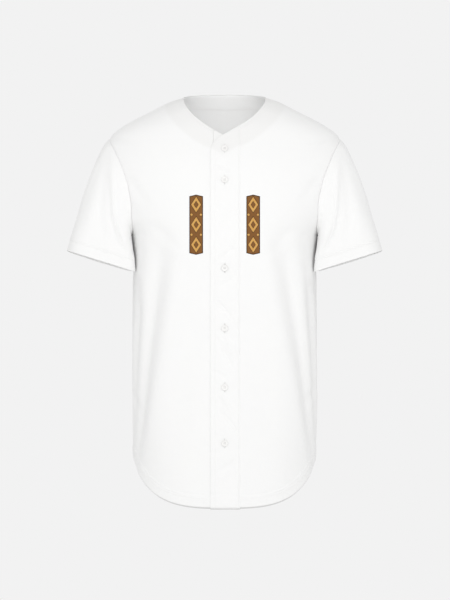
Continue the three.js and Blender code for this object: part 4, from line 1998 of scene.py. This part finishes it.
@dataclass(frozen=True)
class FrontPrint:
    """Two upright bands of lozenges and small discs, printed on the fronts in browns and gold."""

    outline: Colour = (0.055, 0.026, 0.012, 1.0)
    brown: Colour = (0.22, 0.095, 0.025, 1.0)
    gold: Colour = (0.56, 0.27, 0.055, 1.0)
    pale_gold: Colour = (0.70, 0.42, 0.13, 1.0)
    column_x: float = 54.0
    half_width: float = 13.0
    border: float = 1.7
    top_z: float = -187.0
    bottom_z: float = -301.0
    repeats: int = 3
    disc_inset: float = 4.2
    notch_depth: float = 3.0

    def over(self, sketch: NodeSketch, cloth: bpy.types.NodeSocket) -> bpy.types.NodeSocket:
        """Lay the print over the cloth's colour.

        Args:
            sketch: The material's nodes.
            cloth: The cloth's colour.

        Returns:
            The colour with the print.
        """
        place = sketch.node("ShaderNodeTexCoord")
        split = sketch.node("ShaderNodeSeparateXYZ")
        sketch.join(place.outputs["Object"], split, "Vector")
        x = sketch.math("ABSOLUTE", sketch.math("DIVIDE", split.outputs[0], MM))
        z = sketch.math("DIVIDE", split.outputs[2], MM)
        across = sketch.math("ABSOLUTE", sketch.math("SUBTRACT", x, self.column_x))
        pitch = (self.top_z - self.bottom_z) / self.repeats
        middle_z = (self.top_z + self.bottom_z) / 2
        from_centre = sketch.math("ABSOLUTE", sketch.math("SUBTRACT", z, middle_z))
        half_height = (self.top_z - self.bottom_z) / 2
        beat = sketch.math("MODULO", sketch.math("SUBTRACT", self.top_z, z), pitch)
        from_middle = sketch.math("ABSOLUTE", sketch.math("SUBTRACT", beat, pitch / 2))
        to_joint = sketch.math("SUBTRACT", pitch / 2, from_middle)
        notch = sketch.math("DIVIDE", across, self.half_width)
        notch = sketch.math("MULTIPLY", notch, self.notch_depth)
        upright = sketch.math("ADD", from_centre, notch)
        side = sketch.math("SUBTRACT", across, self.half_width)
        end = sketch.math("SUBTRACT", upright, half_height)
        edge = sketch.math("MAXIMUM", side, end)
        lozenge = sketch.math(
            "ADD",
            sketch.math("DIVIDE", across, self.half_width - self.border),
            sketch.math("DIVIDE", from_middle, pitch * 0.46),
        )
        aside = sketch.math("SUBTRACT", across, self.half_width - self.disc_inset)
        disc = sketch.math(
            "SQRT",
            sketch.math(
                "ADD",
                sketch.math("MULTIPLY", aside, aside),
                sketch.math("MULTIPLY", to_joint, to_joint),
            ),
        )
        front = sketch.math("LESS_THAN", split.outputs[1], 0.0)
        inside = sketch.math("MULTIPLY", sketch.math("LESS_THAN", edge, 0.0), front)
        field_only = sketch.math("LESS_THAN", edge, -self.border)
        field_only = sketch.math("MULTIPLY", field_only, inside)
        fleck = sketch.cloud(scale=260.0, detail=2.0)
        gold = sketch.mix(fleck, self.gold, self.pale_gold)
        colour = sketch.mix(inside, cloth, self.outline)
        colour = sketch.mix(field_only, colour, self.brown)
        layers = (
            (lozenge, 0.94, self.outline),
            (lozenge, 0.84, gold),
            (lozenge, 0.42, self.outline),
            (lozenge, 0.34, self.brown),
            (disc, 2.9, self.outline),
            (disc, 2.2, gold),
        )
        for distance, limit, tint in layers:
            mask = sketch.math("MULTIPLY", sketch.math("LESS_THAN", distance, limit), field_only)
            colour = sketch.mix(mask, colour, tint)
        return colour


@dataclass(frozen=True)
class Thread:
    """White polyester sewing thread with a twist."""

    name: str = "white_thread"
    colour: Colour = (0.88, 0.88, 0.87, 1.0)

    def build(self) -> bpy.types.Material:
        """Make the material.

        Returns:
            The material.
        """
        sketch = NodeSketch(self.name)
        shader = sketch.surface(roughness=0.55, sheen_weight=0.2)
        twist = sketch.cloud(scale=2600.0, detail=1.0)
        colour = sketch.mix(twist, self.colour, darker(self.colour, 0.86))
        sketch.join(colour, shader, "Base Color")
        sketch.join(sketch.bump(twist, 0.4, 0.00005), shader, "Normal")
        return sketch.material


@dataclass(frozen=True)
class ButtonPlastic:
    """Glossy white resin with a faint cloud in it."""

    name: str = "white_resin"
    colour: Colour = (0.9, 0.895, 0.88, 1.0)

    def build(self) -> bpy.types.Material:
        """Make the material.

        Returns:
            The material.
        """
        sketch = NodeSketch(self.name)
        shader = sketch.surface(roughness=0.22, coat_weight=0.3, coat_roughness=0.1)
        cloud = sketch.cloud(scale=420.0, detail=2.0)
        colour = sketch.mix(cloud, self.colour, darker(self.colour, 0.93))
        sketch.join(colour, shader, "Base Color")
        return sketch.material


@dataclass
class Studio:
    """A pale floor, a white surround, soft lights and the camera."""

    camera_distance: float = 16.0
    frame_height: float = 1.14
    centre_x: float = 0.0006
    centre_z: float = -0.3866
    subject_y: float = -0.07
    surround: float = 0.888
    overhead: float = 0.69
    overhead_start: float = 0.15
    floor_z: float = -1.5
    floor_radius: float = 2.5
    floor_segments: int = 64
    floor_roughness: float = 0.8
    floor_colour: Colour = (0.85, 0.85, 0.85, 1.0)
    key_place: Spot = (-0.7, -2.6, 0.2)
    key_power: float = 14.0
    fill_place: Spot = (1.1, -2.7, 0.1)
    fill_power: float = 11.2
    light_size: float = 2.4
    glow_power: float = 0.48
    glow_place: Spot = (0.0, -0.02, -0.15)
    glow_aim: Spot = (0.0, 0.09, 0.0)
    glow_cone: float = math.radians(110)
    glow_size: float = 0.05
    glow_blend: float = 1.0

    def build(self) -> None:
        """Make the whole studio."""
        self.make_surround()
        self.make_floor()
        self.make_light("key", self.key_place, self.key_power)
        self.make_light("fill", self.fill_place, self.fill_power)
        self.make_inner_glow()
        self.make_camera()

    def make_surround(self) -> None:
        """Light the scene from all round, less from overhead."""
        world = bpy.data.worlds.new("surround")
        bpy.context.scene.world = world
        world.use_nodes = True
        nodes = world.node_tree.nodes
        background = nodes["Background"]
        background.inputs["Color"].default_value = (1.0, 1.0, 1.0, 1.0)
        links = world.node_tree.links
        direction = nodes.new("ShaderNodeTexCoord")
        split = nodes.new("ShaderNodeSeparateXYZ")
        fade = nodes.new("ShaderNodeMapRange")
        fade.inputs["From Min"].default_value = self.overhead_start
        fade.inputs["To Min"].default_value = self.surround
        fade.inputs["To Max"].default_value = self.overhead
        links.new(direction.outputs["Generated"], split.inputs[0])
        links.new(split.outputs["Z"], fade.inputs["Value"])
        links.new(fade.outputs["Result"], background.inputs["Strength"])
        bpy.context.scene.view_settings.view_transform = "Standard"

    def make_floor(self) -> None:
        """Make the pale floor."""
        work = bmesh.new()
        bmesh.ops.create_circle(
            work, cap_ends=True, segments=self.floor_segments, radius=self.floor_radius
        )
        work.transform(Matrix.Translation((0, 0, self.floor_z)))
        floor = link_piece("floor", work)
        material = bpy.data.materials.new("pale_floor")
        material.use_nodes = True
        shader = material.node_tree.nodes["Principled BSDF"]
        shader.inputs["Base Color"].default_value = self.floor_colour
        shader.inputs["Roughness"].default_value = self.floor_roughness
        floor.data.materials.append(material)

    def make_light(self, name: str, place: Spot, power: float) -> None:
        """Make a soft area light that points at the jersey.

        Args:
            name: The light's name.
            place: Where it stands, in metres.
            power: Its power, in watts.
        """
        data = bpy.data.lights.new(name, "AREA")
        data.energy = power
        data.size = self.light_size
        light = self.place_light(data, place, (0.0, 0.0, self.centre_z))
        light.visible_camera = False

    def place_light(self, data: bpy.types.Light, place: Spot, aim: Spot) -> bpy.types.Object:
        """Put a light in the scene.

        Args:
            data: The light.
            place: Where it stands, in metres.
            aim: Where it points.

        Returns:
            The light's object.
        """
        light = bpy.data.objects.new(data.name, data)
        light.location = place
        toward = Vector(aim) - Vector(place)
        light.rotation_euler = toward.to_track_quat("-Z", "Y").to_euler()
        bpy.context.scene.collection.objects.link(light)
        return light

    def make_inner_glow(self) -> None:
        """Stand in for the light that thin white cloth lets through to its inside."""
        data = bpy.data.lights.new("inner_glow", "SPOT")
        data.energy = self.glow_power
        data.shadow_soft_size = self.glow_size
        data.spot_size = self.glow_cone
        data.spot_blend = self.glow_blend
        self.place_light(data, self.glow_place, self.glow_aim)

    def make_camera(self) -> None:
        """Make the camera, level and square to the front."""
        data = bpy.data.cameras.new("camera")
        data.sensor_fit = "VERTICAL"
        distance = self.camera_distance + self.subject_y
        data.angle_y = 2 * math.atan(self.frame_height / 2 / distance)
        data.clip_start = 0.1
        camera = bpy.data.objects.new("camera", data)
        camera.location = (self.centre_x, -self.camera_distance, self.centre_z)
        camera.rotation_euler = (HALF_PI, 0, 0)
        bpy.context.scene.collection.objects.link(camera)
        bpy.context.scene.camera = camera


@dataclass
class Jersey:
    """The whole garment: builds each sub-assembly and dresses it."""

    form: BodyForm = field(default_factory=BodyForm)
    sewn: SewnSurface = field(default_factory=SewnSurface)
    button_heights: tuple[float, ...] = (-100, -159, -326, -440, -552, -658)
    placket_stitch_points: int = 360
    placket_stitch_rise: float = 2.0

    def __post_init__(self) -> None:
        """Make the finishes."""
        self.armhole = ArmholeLine(self.form)
        self.cloth = KnitCloth().build()
        self.printed = KnitCloth(name="white_knit_printed", has_print=True).build()
        self.thread = Thread().build()
        self.resin = ButtonPlastic().build()

    def dress(
        self, piece: bpy.types.Object, material: bpy.types.Material, slot: str, *nodes: str
    ) -> None:
        """Give a piece its finish and its place in the frame.

        Args:
            piece: The piece.
            material: Its finish.
            slot: Name of a material slot, which is not used.
            nodes: The frame's nodes that it stands for.
        """
        piece.data.materials.append(material)
        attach(piece, BODY)
        if nodes:
            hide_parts(*nodes)
        LOG.info("%s: %d faces", piece.name, len(piece.data.polygons))

    def build_body(self) -> None:
        """Build the panels and facings."""
        self.body = JerseyBody(self.form, self.armhole, self.sewn)
        panels = self.body.fronts_and_back()
        nodes = {
            "right_front_cloth": "right_front",
            "left_front_cloth": "left_front",
            "back_cloth": "back_panel",
        }
        for name, piece in panels.items():
            material = self.cloth if name == "back_cloth" else self.printed
            self.dress(piece, material, "cloth", nodes[name])
        facings = self.body.facings()
        for name, piece in facings.items():
            self.dress(piece, self.cloth, "cloth", name.replace("_cloth", ""))
        cuts = {
            "right_front_cloth": ((0.26, 0.80), 0.165),
            "left_front_cloth": ((0.26, 0.80), 0.167),
            "back_cloth": ((0.52, 0.81), 0.36),
            "right_neck_facing_cloth": ((0.105, 0.12), 0.0051),
            "left_neck_facing_cloth": ((0.105, 0.12), 0.0051),
            "back_neck_facing_cloth": ((0.24, 0.09), 0.012),
        }
        for name, (flat, area) in cuts.items():
            piece = panels.get(name) or facings[name]

    def build_bands(self) -> None:
        """Build the two bands of the front opening."""
        self.bands = FrontBands(self.form, self.sewn)
        pieces = self.bands.build()
        placket = pieces["placket_cloth"]
        under = pieces["button_band_cloth"]
        self.dress(placket, self.cloth, "cloth", "placket_band")
        self.dress(under, self.cloth, "cloth", "button_band")

    def build_sleeves(self) -> None:
        """Build both sleeves."""
        self.sleeves = {}
        for side in Side:
            word = side.name.lower()
            sleeve = Sleeve(self.form, self.armhole, side)
            piece = sleeve.build(f"{word}_sleeve_cloth")
            self.sleeves[side] = sleeve
            self.dress(piece, self.cloth, "cloth", f"{word}_sleeve")

    def build_sewing(self) -> None:
        """Build the topstitching of the hems, the neck and the placket."""
        stitching = Stitching()
        grids = self.body.grids.values()
        hem = [row_line(grid, self.sewn.hem_stitch, False, TRUNK_MIDDLE) for grid in grids]
        neck = [row_line(grid, self.sewn.neck_stitch, True, CHEST_MIDDLE) for grid in grids]
        self.dress(stitching.sew("hem_stitching", hem), self.thread, "thread")
        self.dress(stitching.sew("neck_stitching", neck), self.thread, "thread")
        for side, sleeve in self.sleeves.items():
            middle = sleeve.mirrored(sleeve.hem_centre)
            line = row_line(sleeve.laid, sleeve.hem_stitch, False, middle)
            name = f"{side.name.lower()}_sleeve_stitching"
            self.dress(stitching.sew(name, [line]), self.thread, "thread")
        bands = self.bands
        lines = [
            self.placket_line(bands.placket_from + bands.stitch_from_free_edge),
            self.placket_line(bands.placket_to - bands.stitch_from_sewn_edge),
        ]
        self.dress(stitching.sew("placket_stitching", lines), self.thread, "thread")

    def placket_line(self, x: float) -> StitchLine:
        """An upright line of stitching on the placket.

        Args:
            x: Place across the front.

        Returns:
            The points with the directions out of the cloth.
        """
        low = self.form.front_hem_z + self.placket_stitch_rise
        high = self.bands.placket_top(x)
        top = high - self.sewn.neck_stitch
        line = []
        for i in range(self.placket_stitch_points + 1):
            z = low + (top - low) * i / self.placket_stitch_points
            turn = math.copysign(self.form.share_at(x, z), x)
            lift = self.bands.placket_lift(x, z, high)
            line.append((self.form.skin(turn, z, lift), self.form.outward(turn, z)))
        return line

    def build_buttons(self) -> None:
        """Build the buttons, their thread and their buttonholes."""
        threads = bmesh.new()
        holes = bmesh.new()
        for number, z in enumerate(self.button_heights, start=1):
            button = Button(self.form, z)
            piece = button.build(f"button_{number}_resin")
            self.dress(piece, self.resin, "button", f"button_{number}")
            button.thread(threads)
            button.buttonhole(holes)
        self.dress(link_piece("button_thread", threads), self.thread, "thread")
        self.dress(link_piece("buttonhole_stitching", holes), self.thread, "thread")

    def build(self) -> None:
        """Build every sub-assembly in the order in which a maker would join them."""
        self.build_body()
        self.build_sleeves()
        self.build_bands()
        self.build_sewing()
        self.build_buttons()


def main() -> None:
    """Load the frame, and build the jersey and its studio."""
    logging.basicConfig(level=logging.INFO, format="%(message)s")
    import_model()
    Studio().build()
    Jersey().build()


if __name__ == "__main__":
    main()
